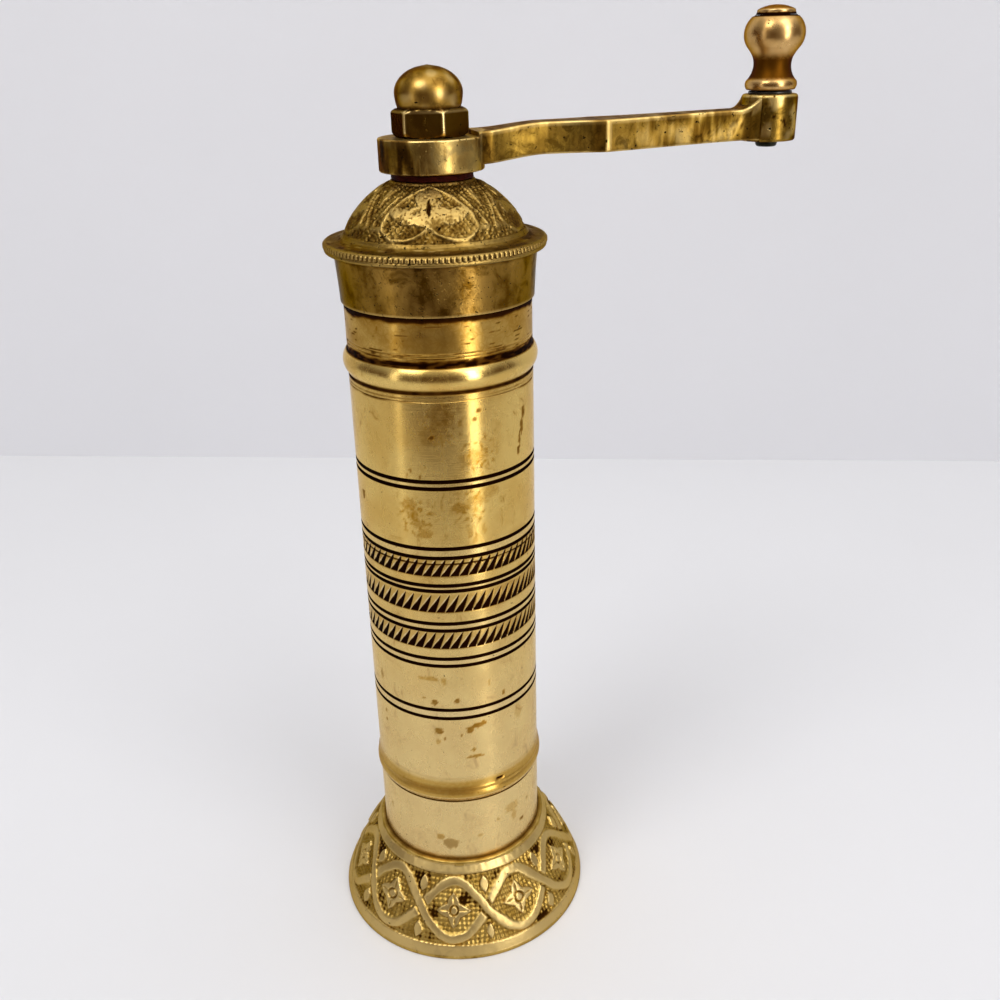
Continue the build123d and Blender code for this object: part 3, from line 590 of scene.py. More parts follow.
def groove(z):
    """Black-filled ring groove with steep sides."""
    return [
        (TUBE_R, z - GROOVE_HALF - 0.08), (TUBE_R, z - GROOVE_HALF), (TUBE_R - GROOVE_DEPTH, z - 0.22),
        (TUBE_R - GROOVE_DEPTH, z + 0.22), (TUBE_R, z + GROOVE_HALF), (TUBE_R, z + GROOVE_HALF + 0.08),
    ]


def in_grooves(z, heights):
    """1 inside one of the ring grooves, right up to its edges."""
    return max(1 if abs(z - height) < GROOVE_HALF + 0.02 else 0 for height in heights)


def land_highlight(z, heights):
    """1 on the narrow land between two ring grooves that lie close together, where a painted highlight goes.
    """
    return max(1 if low < z < high and high - low < 2.3 else 0 for low, high in zip(heights, heights[1:]))


def paled(z):
    """How much the tube is rubbed pale, more towards its foot."""
    return 0.45 - 0.4 * step_up(z, 44, 112)


def dirty_line(z, low, high, dark, broken):
    """Dirt along a ring between two heights, as dark as given, broken up where broken is low."""
    edge = 0.25 * (high - low)
    cover = step_up(z, low - edge, low + edge) * (1 - step_up(z, high - edge, high + edge))
    return cover * min(1, max(0, dark + broken))


def neck_marks(angle, z):
    """The neck: ragged black dirt packed on the bead and under the skirt, broken streaks between."""
    ragged_top = rough(angle * 3, 0, 0, 1) + 0.6 * rough(angle * 9, 0, 2, 1)
    front = 0.5 + 0.5 * math.cos(angle - CAMERA_SIDE - 0.7)
    packed = 1 - step_up(z, 140.6 + 0.7 * front + 0.5 * ragged_top, 141.1 + 0.7 * front + 0.6 * ragged_top)
    packed *= 0.85 + 0.15 * step_up(rough(angle * 10, z * 2, 5, 1), -0.3, 0.1)
    hung = step_up(z, 148.2 - 0.7 * ragged_top, 148.9 - 0.5 * ragged_top)
    streaks = rough(angle * 3, z * 4, 8, 1) + 0.5 * rough(angle * 11, z * 4, 2, 1)
    near_bead = 1 - step_up(z, 141.5, 144.5)
    broken = step_up(streaks, 0.36 - 0.34 * near_bead, 0.56 - 0.26 * near_bead)
    cloud = 0.5 + 0.5 * rough(angle * 3, z / 3, 4, 1)
    film = max(0.9 * near_bead, step_up(z, 145.5, 149)) * (0.5 + 0.6 * cloud)
    return 0, max(packed, 0.95 * hung, 0.8 * broken, 0.24 * cloud), max(film, 0.3 + 0.6 * cloud)


def body_marks(angle, r, z):
    """Filled grooves, dirt round the beads and under the lid, stains, a painted dark reflection on the lower
    bead and a nick.
    """
    if r < TUBE_R - 0.6:
        return 0, 0
    slow = rough(angle * 3, z / 3, 0, 1)
    quick = rough(angle * 12, z * 2, 7, 1)
    wander = 0.35 * slow + 0.25 * quick
    if z > 139.9:
        return neck_marks(angle, z)
    high = z + 0.25 * slow
    stain, dirt = spotted(angle, z)
    dark = max(dirt, in_grooves(z, LOWER_GROOVES + UPPER_GROOVES))
    for low, top, depth, breaks in (
        (134.75, 135.55, 0.95, 0.4), (133.9, 134.1, 0.4, 1.2), (133.3, 133.5, 0.6, 1.0),
        (43.4, 44.1, 0.12, 0.3),
        (40.9, 41.05, 0.3, 0.8),
    ):
        dark = max(dark, dirty_line(high if top - low < 0.8 else z, low, top, depth, breaks * wander))
    dark = max(dark, (1 - step_up(z, RIM_Z + 0.1, RIM_Z + 0.4)) * 0.95)
    from_camera = (math.degrees(angle - CAMERA_SIDE) + 180) % 360 - 180
    nick = math.hypot(math.radians(from_camera - 28) * TUBE_R / 1.1, (z - 41.9) / 0.45)
    nick = 1 - step_up(nick + 0.3 * quick, 0.7, 1.1)
    under_bead = step_up(z, 131.5, 134.5) * (1 - step_up(z, 135, 135.6)) * (0.4 + wander)
    # Lands between close ring grooves are made paler: painted highlight
    pale = paled(z) + 0.2 * land_highlight(z, UPPER_GROOVES) + 0.2 * land_highlight(z, LOWER_GROOVES)
    # The lower bead gets a brown film all round and more dirt on its side facing the camera: painted dark
    # reflection of the room
    bead_painted_dark = step_up(z, 38.4, 39.2) * (1 - step_up(z, 42.4, 43.8))
    painted_bead_reflection = step_up(math.cos(angle - CAMERA_SIDE + 0.25), 0.78, 0.97)
    painted_bead_reflection = painted_bead_reflection * step_up(z, 39.4, 40) * (1 - step_up(z, 41.2, 42.2))
    dark = max(dark, nick, 0.1 * bead_painted_dark, 0.45 * painted_bead_reflection)
    return 0.25 * nick, dark, max(stain, under_bead, 0.5 * bead_painted_dark), pale * (1 - bead_painted_dark) * (1 - stain)


def scribed(r, z, depth):
    """Fine line left by the turning tool."""
    return [(r, z - 0.12), (r - depth, z), (r, z + 0.12)]


body_outline = [
    (BORE_R, RIM_Z, 0.3), (TUBE_R - 0.2, RIM_Z), (TUBE_R - 0.05, RIM_Z + 0.15),
    (TUBE_R + 0.1, RIM_Z + 0.35), *bow((TUBE_R + 0.1, RIM_Z + 0.35), (TUBE_R + 0.4, 40.2), 0.4, 7),
    (TUBE_R + 0.33, 40.35), (TUBE_R + 0.4, 40.6), (TUBE_R + 0.3, 40.85), (TUBE_R + 0.37, 41.1),
    (TUBE_R + 0.25, 41.35), *bow((TUBE_R + 0.25, 41.35), (TUBE_R, 44.0), -0.05, 8),
    *rows(44.3, 59.6, 0.4),
]
body_outline += groove(LOWER_GROOVES[0]) + groove(LOWER_GROOVES[1]) + rows(63.4, BAND_LOW - 0.1, 0.4)
body_outline += [(TUBE_R, BAND_LOW), (BAND_SEAT_R, BAND_LOW), (BAND_SEAT_R, BAND_HIGH), (TUBE_R, BAND_HIGH)]
body_outline += rows(BAND_HIGH + 0.3, 114.7, 0.4) + groove(UPPER_GROOVES[0]) + groove(UPPER_GROOVES[1])
body_outline += rows(117.7, 132.9, 0.4) + scribed(TUBE_R, 133.4, 0.12)
body_outline += [
    (TUBE_R, 133.7), (TUBE_R, 134.0), (TUBE_R, 134.3), (TUBE_R, 134.6), (TUBE_R, 134.9), (TUBE_R, 135.15),
]
body_outline += [(TUBE_R - 0.08, 135.4), *bow((TUBE_R, 135.6), (TUBE_R, 140.1), 0.93, 12)]
body_outline += [(TUBE_R - 0.1, z) for z in (140.3, 140.55, 140.8, 141.1, 141.4, 141.65)]
for height in NECK_LINES:
    body_outline += scribed(TUBE_R - 0.1, height, 0.08)
body_outline += [(TUBE_R - 0.1, 143 + 0.25 * i) for i in range(24)]
body_outline += [
    (TUBE_R - 0.1, 149.0), (TUBE_R - 0.1, 149.3), (TUBE_R - 0.1, SHOULDER_Z), (18.0, SHOULDER_Z),
    (18.0, 156.4),
]
body_outline += [(BORE_R, 156.4)]
piece(
    "body_tube_turned", carve(turn(body_outline, 320, 8), body_marks), "mill_body", "tube_brass",
    tube_brass, "body_tube",
)

# Spigot above the notches that hold the upper bar: two arcs of wall


def make_spigot_arcs():
    """Half a ring of wall, cut straight, and its copy turned round."""
    bm = turn([(BORE_R, 156.4), (18.0, 156.4), (18.0, 158.9, 0.25), (BORE_R, 158.9, 0.25)], 192)
    bmesh.ops.bisect_plane(
        bm, geom=bm.verts[:] + bm.edges[:] + bm.faces[:], plane_co=(4.52 * MM, 0, 0), plane_no=(1, 0, 0),
        clear_inner=True,
    )
    open_edges = [e for e in bm.edges if e.is_boundary]
    bmesh.ops.holes_fill(bm, edges=open_edges, sides=0)
    half = bm.verts[:] + bm.edges[:] + bm.faces[:]
    other = bmesh.ops.duplicate(bm, geom=half)["geom"]
    turned_verts = [v for v in other if isinstance(v, bmesh.types.BMVert)]
    bmesh.ops.rotate(bm, verts=turned_verts, cent=(0, 0, 0), matrix=Matrix.Rotation(math.pi, 3, "Z"))
    return bm


piece("spigot_arcs", make_spigot_arcs(), "mill_body", "tube_brass", tube_brass)

# Engraved band: a sleeve with ring grooves and three rows of slanted gouges

GOUGES = 62
GOUGE_ROWS = ((78.4, 82.4, 1.1, 0.35), (87.3, 91.4, 1.1, 0.35), (95.8, 99.7, 2.0, 0.8))
GOUGE_STEP = 0.22
FACET = 0.24
SCRIBED_RING = 98.6


def gouge(angle, z, low, high, taper, stem):
    """Depth, filling and painted highlight on the left slope of a leaning cut: broad at its foot, hooked to a
    fine tip.
    """
    t = (z - low) / (high - low)
    if not -0.06 < t < 1:
        return 0, 0, 0
    pitch = 2 * math.pi * TUBE_R / GOUGES
    place = (angle / (2 * math.pi) * GOUGES) % 1 * pitch
    left = 0.2 + 2.95 * t
    width = (1.8 - stem) * (1 - max(0, t)) ** taper + stem * (1 - t ** 6)
    foot = step_up(t, -0.02, 0.05)
    fill_foot = step_up(t, -0.06, 0.005)
    for x in (place, place + pitch, place + 2 * pitch):
        if left - FACET <= x <= left + width:
            wall = min(1, (x - left + FACET) / FACET) * (1 - step_up(x, left + width - 0.12, left + width))
            filled = step_up(x, left - 0.06, left + 0.02) * (
                1 - step_up(x, left + width - 0.06, left + width + 0.02)
            )
            # The slope left of each cut is made pale: painted highlight
            painted_facet_highlight = (1 - filled) * step_up(left - x, -0.1, 0)
            return 0.22 * (1 - 0.6 * t) * wall * foot, filled * fill_foot, painted_facet_highlight * foot
    return 0, 0, 0


def band_marks(angle, r, z):
    """Filled ring grooves, gouges with a brown film between and painted highlights on their left slopes, the
    thin ring across the top row.
    """
    if r < TUBE_R - 0.6:
        return 0, 0
    dark = in_grooves(z, BAND_GROOVES)
    film = 0.5 * step_up(rough(angle * 4, z / 2, 5, 1), 0.1, 0.5)
    # Lands between close ring grooves are made paler: painted highlight
    depth, band_rub_and_highlight = 0, paled(z) + 0.22 * land_highlight(z, BAND_GROOVES)
    for row, (low, high, *cut_shape) in enumerate(GOUGE_ROWS):
        in_row = step_up(z, low - 0.6, low + 0.3) * (1 - step_up(z, high - 0.2, high + 0.4))
        film = max(film, 0.3 * in_row)
        band_rub_and_highlight *= 1 - 0.4 * in_row
        dark = max(dark, 0.08 * in_row)
        cut, filled, painted_facet_highlight = gouge(
            angle + 0.03 * row, z + 0.06 * rough(angle * 12, row, 0, 1), low, high, *cut_shape
        )
        depth = max(depth, cut)
        dark = max(dark, filled)
        band_rub_and_highlight = max(band_rub_and_highlight, painted_facet_highlight)
    line = 1 - step_up(abs(z - SCRIBED_RING - 0.12 * rough(angle * 4, 0, 2, 1)), 0.1, 0.24)
    return max(depth, 0.08 * line), max(dark, line), film, band_rub_and_highlight


def near_groove(z):
    """True where a ring groove has its own rows of points."""
    return min(abs(z - height) for height in BAND_GROOVES) < GROOVE_HALF + 0.16


band_outline = [(BAND_SEAT_R, BAND_LOW), (TUBE_R, BAND_LOW)]
band_heights = []
for low, high, *_ in GOUGE_ROWS:
    count = round((high - low + 0.4) / GOUGE_STEP)
    band_heights += [low - 0.5, low - 0.35] + [low - 0.2 + GOUGE_STEP * i for i in range(count + 1)]
band_profile = [(TUBE_R, z) for z in band_heights if not near_groove(z)]
for height in BAND_GROOVES:
    band_profile += groove(height)
band_outline += sorted(band_profile, key=lambda point: point[1])
band_outline += [(TUBE_R, BAND_HIGH), (BAND_SEAT_R, BAND_HIGH)]
piece(
    "body_tube_engraved", carve(turn(band_outline, GOUGES * 13, 13), band_marks), "mill_body", "tube_brass",
    tube_brass,
)

# Lid: skirt, and dome with a milled brim and four cartouches

CARTOUCHES = 4
CARTOUCHE_TURN = CAMERA_SIDE - math.radians(4)
NOTCHES = 130
MILL_LOW = 160.22
MILL_HIGH = 160.98
CARTOUCHE_SIDE = (
    (0.5, 0), (1.6, 8), (2.9, 16.8), (4.4, 23), (6.2, 28.2), (8.2, 32), (10.0, 34), (11.3, 33), (12.3, 29.5)
)
CARTOUCHE_FOOT = ((29.5, 12.3), (23.5, 13.3), (16, 13.2), (9.3, 12.7), (4.1, 11.7), (0, 10.6))


def between(value, table):
    """Straight-line reading of a short table of (place, size)."""
    for (low, first), (high, second) in zip(table, table[1:]):
        if min(low, high) <= value <= max(low, high):
            return first + (second - first) * (value - low) / (high - low)
    return None


def dome_relief(angle, r, z):
    """Depth and marks of the dome: four cartouches with a three-lobed leaf, ribs and scrolls between."""
    reach = math.hypot(r, z - DOME_Z)
    if reach < DOME_R - 0.8 or r < SEAT_R + 0.05 or r > 18.3:
        return 0, 0
    down = DOME_R * (math.atan2(r, z - DOME_Z) - math.asin(SEAT_R / DOME_R))
    quarter = 2 * math.pi / CARTOUCHES
    unsteady = rough(angle * 10, down / 1.5, 11, 1)
    turned_by = (
        angle - CARTOUCHE_TURN + quarter / 2
    ) % quarter - quarter / 2 + math.radians(1.1 * unsteady)
    degrees = abs(math.degrees(turned_by))
    x = abs(turned_by) * r
    worn = rough(angle * 18, down, 3, 2) + 0.5 * rough(angle * 30, down * 1.6, 6, 1)
    edge = between(down, CARTOUCHE_SIDE)
    inside = edge is not None and degrees < edge
    raised = 0
    if edge is not None:
        raised = max(raised, stroke(math.radians(degrees - edge) * r * 0.85, 0.36, 0.4))
    base = between(degrees, CARTOUCHE_FOOT)
    if base is not None:
        raised = max(raised, stroke((down - base) * 0.9, 0.36, 0.4))
        inside = inside or (degrees < 29.5 and 10 < down < base)
        inside = inside and down < base
    leaf = 1 - step_up(math.hypot(x / 2.7, (down - 4.4) / 2.8), 0.9, 1.02)
    leaf = max(leaf, 1 - step_up(math.hypot(x / 4.4, (down - 8.2) / 2.5), 0.92, 1.02))
    tilt_x = (x - 4.9) * 0.9 - (down - 8.3) * 0.43
    tilt_y = (x - 4.9) * 0.43 + (down - 8.3) * 0.9
    leaf = max(leaf, 1 - step_up(math.hypot(tilt_x / 3.1, tilt_y / 1.7), 0.9, 1.03))
    leaf = max(leaf, stroke(x, 0.6) if 9 < down < 11 else 0)
    leaf *= 1 - 0.45 * step_up(worn, 0.15, 0.6)
    slit = almond(x, down - 6.4, 0.4, 2.1, 0.2)
    raised = max(raised, leaf - slit)
    rib = math.radians(45 - degrees) * r
    if down < 7:
        raised = max(raised, stroke(rib - 0.09 * (7 - down), 0.3, 0.25) * 0.8)
    raised = max(raised, step_up(down, 13.7, 13.9), 1 - step_up(down, 0.25, 0.45))
    if not inside and edge is not None and down > 4:
        vine = math.sin((45 - degrees) * 0.32 + down * 0.9) * 1.1
        raised = max(raised, 0.8 * stroke(rib - 2.2 - vine, 0.4))
    wander_x = x + 0.45 * rough(angle * 16, down, 20, 1)
    wander_y = down + 0.45 * rough(angle * 16, down, 30, 1)
    pebble = math.cos(2 * math.pi * wander_x / 1.25) * math.cos(2 * math.pi * wander_y / 1.4)
    raised = min(1, max(0, raised))
    low = 1 - raised
    dark = low * (
        0.05 + 0.4 * step_up(-pebble, -0.1, 0.9) * step_up(worn, -0.4, 0.3) + 0.3 * step_up(worn, 0.0, 0.5)
    )
    flat = max(0, leaf - slit)
    pitted = flat * step_up(rough(angle * 40, down * 2, 5, 1), 0.3, 0.45)
    stain = 0.3 + 0.3 * low + 0.3 * worn
    rub = max(
        0.8 * flat, 0.6 * raised, 0.4 * low * step_up(pebble, 0.2, 0.9)
    ) * (1 - 0.7 * step_up(worn, 0.0, 0.5))
    ring = step_up(down, 13.5, 13.9)
    depth = low * (0.28 - 0.12 * pebble + 0.08 * worn) + 0.05 * (1 + worn)
    return depth, max(min(1, dark), 0.9 * slit, 0.6 * pitted), stain, rub * (1 - 0.7 * ring)


DOME_FOOT_Z = DOME_Z + math.sqrt(DOME_R ** 2 - 18.0 ** 2)
CEILING_Z = SEAT_Z - 2.2
OUTER_RISE = DOME_R - math.sqrt(DOME_R ** 2 - (math.hypot(10.0, SEAT_Z - DOME_FOOT_Z) / 2) ** 2)
BRIM_JOIN = (18.4, 162.1)
dome_outline = [
    (17.17, FLANGE_Z), (18.0, FLANGE_Z), BRIM_JOIN, *bow(BRIM_JOIN, (18.0, DOME_FOOT_Z), -0.05, 3),
    *bow((18.0, DOME_FOOT_Z), (SEAT_R, SEAT_Z), OUTER_RISE, 84), (SHAFT_HOLE_R, SEAT_Z),
    (SHAFT_HOLE_R, CEILING_Z), (7.99, CEILING_Z),
    *bow((7.99, CEILING_Z), (17.17, FLANGE_Z), -2.2, 16)[:-1],
]
piece(
    "lid_dome_chased", carve(turn(dome_outline, 640, 16), dome_relief), "lid", "lid_brass", dome_brass,
    "lid_dome"
)


def brim_marks(angle, r, z):
    """Milled edge: pale beads, rubbed and with a painted highlight, painted shade in the dark gaps, a painted
    highlight on the lip below; brown film, scratches and dirt on the brim's top.
    """
    # The smooth lip under the beads is made paler: painted highlight
    if z <= MILL_LOW + 0.01 and r > 21:
        return 0, 0, 0.3, 0.4 * step_up(r, 21.3, 21.6)
    if z < MILL_HIGH + 0.02 and r > 21.5:
        across = 2 * ((angle / (2 * math.pi) * NOTCHES) % 1) - 1
        # Dark gaps between the milled beads are painted shade; the paler beads are rubbed wear and painted
        # highlight
        painted_gap_shade = step_up(abs(across), 0.6, 0.95)
        return 0.42 * (1 - math.sqrt(1 - 0.96 * across ** 2)), painted_gap_shade, 0.2, 0.75 * (1 - painted_gap_shade)
    if z > MILL_HIGH:
        scratch = step_up(rough(angle * 3 + r / 6, r * 2, 0, 0.5), 0.25, 0.45)
        dirt = step_up(rough(angle * 9, r, 0, 1.5), 0.1, 0.45)
        lip = step_up(r, 21.0, 21.6)
        return 0, 0.6 * dirt * (1 - 0.6 * lip), 0.75 * (1 - lip), max(0.5 * scratch, 0.45 * lip)
    return 0, 0


# The brim's edge: a thin smooth lip, a fine groove, then the milled beads
brim_outline = [
    (17.9, FLANGE_Z), (21.2, FLANGE_Z), (21.5, 159.38), *bow((21.5, 159.38), (21.68, 160.1), 0.2, 6),
    (21.62, MILL_LOW), (21.98, MILL_LOW + 0.06), (21.98, MILL_LOW + 0.3), (21.98, MILL_HIGH - 0.3),
    (21.98, MILL_HIGH - 0.1), (21.93, MILL_HIGH), *bow((21.88, MILL_HIGH + 0.06), (21.0, 161.4), 0.14, 5),
    (20.6, 161.41), (20.2, 161.43), (19.8, 161.47), (19.4, 161.56),
    *bow((19.2, 161.62), BRIM_JOIN, -0.08, 4), (17.9, 162.1),
]
piece(
    "lid_brim_milled", carve(turn(brim_outline, NOTCHES * 10, 26), brim_marks), "lid", "lid_brass",
    dome_brass,
)


def skirt_grime(angle, r, z):
    """Dirt in the corner under the brim, brown clouds down the side, a pale lower edge."""
    if r < 19.2:
        return 0, 0
    under = 0.6 * step_up(z, 158.5, 159.1) * step_up(rough(angle * 8, 0, 0, 1), -0.5, 0.3)
    cloud = rough(angle * 5, z / 6, 3, 1) + 0.5 * rough(angle * 14, z / 2, 1, 1)
    return 0, under, step_up(cloud, -0.2, 0.5), 0.6 * (1 - step_up(z, SHOULDER_Z + 0.1, SHOULDER_Z + 0.5))


skirt_outline = [
    (18.1, SHOULDER_Z), (19.4, SHOULDER_Z, 0.2), (19.42, SHOULDER_Z + 0.6),
    *bow((19.42, SHOULDER_Z + 0.6), (19.98, 158.4), -0.06, 14), (20.0, 158.9), (20.0, FLANGE_Z),
    (18.1, FLANGE_Z),
]
piece(
    "lid_skirt_turned", carve(turn(skirt_outline, 320, 8), skirt_grime), "lid", "lid_brass", lid_brass,
    "lid_skirt"
)

# Red washer between dome and crank, its rim a little ragged


def ragged(angle, r, z):
    """Uneven rim."""
    if r < 7.5:
        return 0, 0
    return 0.12 + 0.1 * rough(angle * 9, z * 3, 0, 1), 0


FIBRE_TOP_Z = 173.53
washer_outline = [
    (SHAFT_HOLE_R, SEAT_Z), (SEAT_R, SEAT_Z, 0.25), (SEAT_R, 172.9), (SEAT_R, FIBRE_TOP_Z, 0.25),
    (SHAFT_HOLE_R, FIBRE_TOP_Z),
]
piece(
    "fibre_washer", carve(turn(washer_outline, 160), ragged), "lid", "red_fibre", red_fibre, "crank_washer"
)

# Crank: hub, cusped arm and end boss, cast in one

ARM_START_X = 8.0
ARM_COLUMNS = 120
ARM_ROWS = 8
ARM_LAYERS = 6
CUSP_X = 33.4
HUB_FILLET_X = 10.5
HUB_R = 10.1
HUB_HOLE_R = 4.04
SQUARE_HALF = 3.24
BOSS_R = 5.6


def arm_half_width(x):
    """Half the arm's width: full at the hub, hollowed, out to a cusp, then a long taper to the boss."""
    if x < HUB_FILLET_X:
        return 7.8 - math.sqrt(9 - (HUB_FILLET_X - x) ** 2)
    if x < 10.8:
        return 4.8
    if x < CUSP_X:
        t = (x - 10.8) / (CUSP_X - 10.8)
        return 4.8 + 0.7 * t - 1.9 * 4 * t * (1 - t)
    t = min(1, (x - CUSP_X) / (64.4 - CUSP_X))
    return 5.5 - 2.5 * t - 0.7 * 4 * t * (1 - t) + 1.3 * max(0, (x - 62.2) / 3.6) ** 2


def arm_rise(x):
    """How far the arm's underside stands above the hub's."""
    return 1.0 + 1.1 * step_up(x, 8.6, 22.1) + 0.7 * step_up(x, 30, 70)


def boss_fillet(x):
    """Extra height of the arm's top where it sweeps up to the boss."""
    return 1.3 * max(0, (x - 62.6) / 2.6) ** 2


def crank_marks(angle, r, z):
    """Edges rubbed bright and given painted highlights, a painted highlight along the cusp, brown film and
    blotches, painted dark reflection before the cusp and on one side of the hub, dirt round the boss.
    """
    x, y = r * math.cos(angle), r * math.sin(angle)
    patchy = 0.7 * rough(x / 2.2, y / 4, z / 9, 1) + 0.6 * rough(x / 0.7, y / 2, z / 6, 1)
    film = 0.2 + 0.65 * step_up(patchy, -0.3, 0.5)
    if r < 10.2:
        edge = max(
            step_up(z, HUB_TOP_Z - 0.45, HUB_TOP_Z - 0.15), 0.8 * (1 - step_up(z, HUB_Z + 0.1, HUB_Z + 0.4))
        )
        # The hub's side about 70 degrees to the left of the camera gets more stain and dirt, the rest more
        # rub: painted dark reflection on that side
        left = step_up(-math.cos(angle - CAMERA_SIDE - math.radians(110)), 0.3, 0.8) * step_up(r, 9.6, 10)
        shade = 0.8 * step_up(patchy + 0.45 * left, 0.3, 0.6)
        rub = max(0.9 * edge * step_up(r, 9.3, 9.7), 0.3 * (1 - left))
        return 0, shade, 0.55 * film + 0.5 * left, rub
    from_boss = math.hypot(x - CRANK_X, y)
    if from_boss < 5.62 or x > CRANK_X:
        spots = rough(x / 1.3, y / 1.3, z / 1.3, 1) + 0.4 * rough(x / 0.6, y / 0.6, z / 0.6, 1)
        high_left = step_up(z, 180, 185) * (1 - step_up(x, 66, 72))
        mottle = rough(x / 2.4, y / 2.4, z / 3, 1)
        pale = max(0.7 * step_up(z, BOSS_TOP_Z - 0.7, BOSS_TOP_Z - 0.3), 0.7 * step_up(mottle, 0.05, 0.35))
        return 0, step_up(spots, 0.4 - 0.3 * high_left, 0.6), 0.2 + 0.55 * step_up(-mottle, -0.1, 0.3), pale
    low_z = HUB_Z + arm_rise(x)
    side = step_up(abs(y), arm_half_width(x) - 0.55, arm_half_width(x) - 0.4)
    # Arm edges and the cusp are made paler: rubbed wear and painted highlight
    edge = max(step_up(z - low_z, ARM_T - 0.5, ARM_T - 0.25), 1 - step_up(z - low_z, 0.1, 0.35)) * side
    cusp = 1 - step_up(abs(x - CUSP_X - 0.2), 0.15, 0.6)
    # Dark before the cusp on the arm's hollow face: painted dark reflection
    painted_dark_before_cusp = step_up(x, CUSP_X - 4.5, CUSP_X - 1.2) * (1 - step_up(x, CUSP_X - 0.5, CUSP_X - 0.1))
    crease = (1 - step_up(x, 10.2, 11.0)) * side
    near_boss = step_up(x, 58, 64) * step_up(rough(x, y, z, 0.9), 0.25, 0.45)
    blot = 0.8 * rough(x / 4.5, y / 4, z / 4, 1) + 0.5 * rough(x / 0.9, y / 3, z / 5, 1)
    past_cusp = step_up(x, CUSP_X + 1, CUSP_X + 9)
    blotch = step_up(blot, -0.25, 0.45) * (0.3 + 0.3 * past_cusp)
    paler = 0.2 * step_up(-blot, 0, 0.5) * past_cusp
    grime = max(0.65 * painted_dark_before_cusp * side, 0.8 * near_boss, 0.5 * crease, blotch)
    return 0, grime, film + 0.3 * painted_dark_before_cusp, max(0.9 * edge, cusp * side, paler)


def make_crank():
    """Hub with a square hole, arm and boss in one mesh."""
    side = [(HUB_R, HUB_Z + 1.1 * i) for i in range(1, 5)]
    top = [(r, HUB_TOP_Z) for r in (9.2, 8.2, 7.2, 6.2, 5.2)]
    hub_outline = [
        (HUB_HOLE_R, HUB_Z), (HUB_R, HUB_Z, 0.35), *side, (HUB_R, HUB_TOP_Z, 0.35), *top,
        (HUB_HOLE_R, HUB_TOP_Z),
    ]
    hub = turn(hub_outline, 128)
    for vert in hub.verts:
        r = math.hypot(vert.co.x, vert.co.y)
        if r < 5 * MM:
            flat = math.pi / 2
            from_flat = (math.atan2(vert.co.y, vert.co.x) + flat / 2) % flat - flat / 2
            shrink = min(1, SQUARE_HALF * MM / math.cos(from_flat) / r)
            vert.co.x *= shrink
            vert.co.y *= shrink
    boss_side = [(BOSS_R, BOSS_Z + 0.8 * i) for i in range(1, 10)]
    boss_outline = [
        (RIVET_HOLE_R, BOSS_Z), (BOSS_R, BOSS_Z, 0.5), *boss_side, (BOSS_R, BOSS_TOP_Z, 0.7),
        (RIVET_HOLE_R, BOSS_TOP_Z),
    ]
    boss = turn(boss_outline, 96)
    bmesh.ops.translate(boss, verts=boss.verts[:], vec=(CRANK_X * MM, 0, 0))
    arm = bmesh.new()
    bmesh.ops.create_grid(arm, x_segments=ARM_COLUMNS, y_segments=ARM_ROWS, size=0.5)
    layer = arm.faces[:]
    for _ in range(ARM_LAYERS):
        grown = bmesh.ops.extrude_face_region(arm, geom=layer)["geom"]
        layer = [f for f in grown if isinstance(f, bmesh.types.BMFace)]
        raised = [v for v in grown if isinstance(v, bmesh.types.BMVert)]
        bmesh.ops.translate(arm, verts=raised, vec=(0, 0, 1 / ARM_LAYERS))
    inner = [f for f in arm.faces if abs(f.normal.z) > 0.5 and 0.01 < f.calc_center_median().z < 0.99]
    bmesh.ops.delete(arm, geom=inner, context="FACES")
    for vert in arm.verts:
        run = vert.co.x + 0.5
        if run < 0.5:
            x = ARM_START_X + (CUSP_X - ARM_START_X) * run / 0.5
        else:
            x = CUSP_X + (66.0 - CUSP_X) * (run - 0.5) / 0.5
        z = HUB_Z + arm_rise(x) + vert.co.z * (ARM_T + boss_fillet(x))
        vert.co = (x * MM, 2 * vert.co.y * arm_half_width(x) * MM, z * MM)
    bmesh.ops.recalc_face_normals(arm, faces=arm.faces[:])
    long_edges = [
        e for e in arm.edges
        if len(e.link_faces) == 2 and e.calc_face_angle() > 0.6 and abs(
            e.verts[0].co.x - e.verts[1].co.x
        ) > 1e-6
    ]
    bmesh.ops.bevel(
        arm, geom=long_edges, offset=0.4 * MM, offset_type="OFFSET", affect="EDGES", segments=3,
        profile=0.5,
        material=-1, clamp_overlap=True,
    )
    for part in (boss, arm):
        mesh = bpy.data.meshes.new("crank_part")
        part.to_mesh(mesh)
        part.free()
        hub.from_mesh(mesh)
        bpy.data.meshes.remove(mesh)
    return carve(hub, crank_marks)


piece("crank_cast", make_crank(), "crank", "cast_brass", cast_brass, "crank_arm")

# Cap nut: chamfered hexagon with a domed cap

NUT_APOTHEM = 6.5
NUT_CORNER = math.radians(39)
HEX_TOP_Z = HUB_TOP_Z + 5.0


def flat_radius(angle):
    """Distance from the axis to the hexagon's side in that direction."""
    sixth = math.pi / 3
    return NUT_APOTHEM / math.cos((angle - NUT_CORNER) % sixth - sixth / 2)


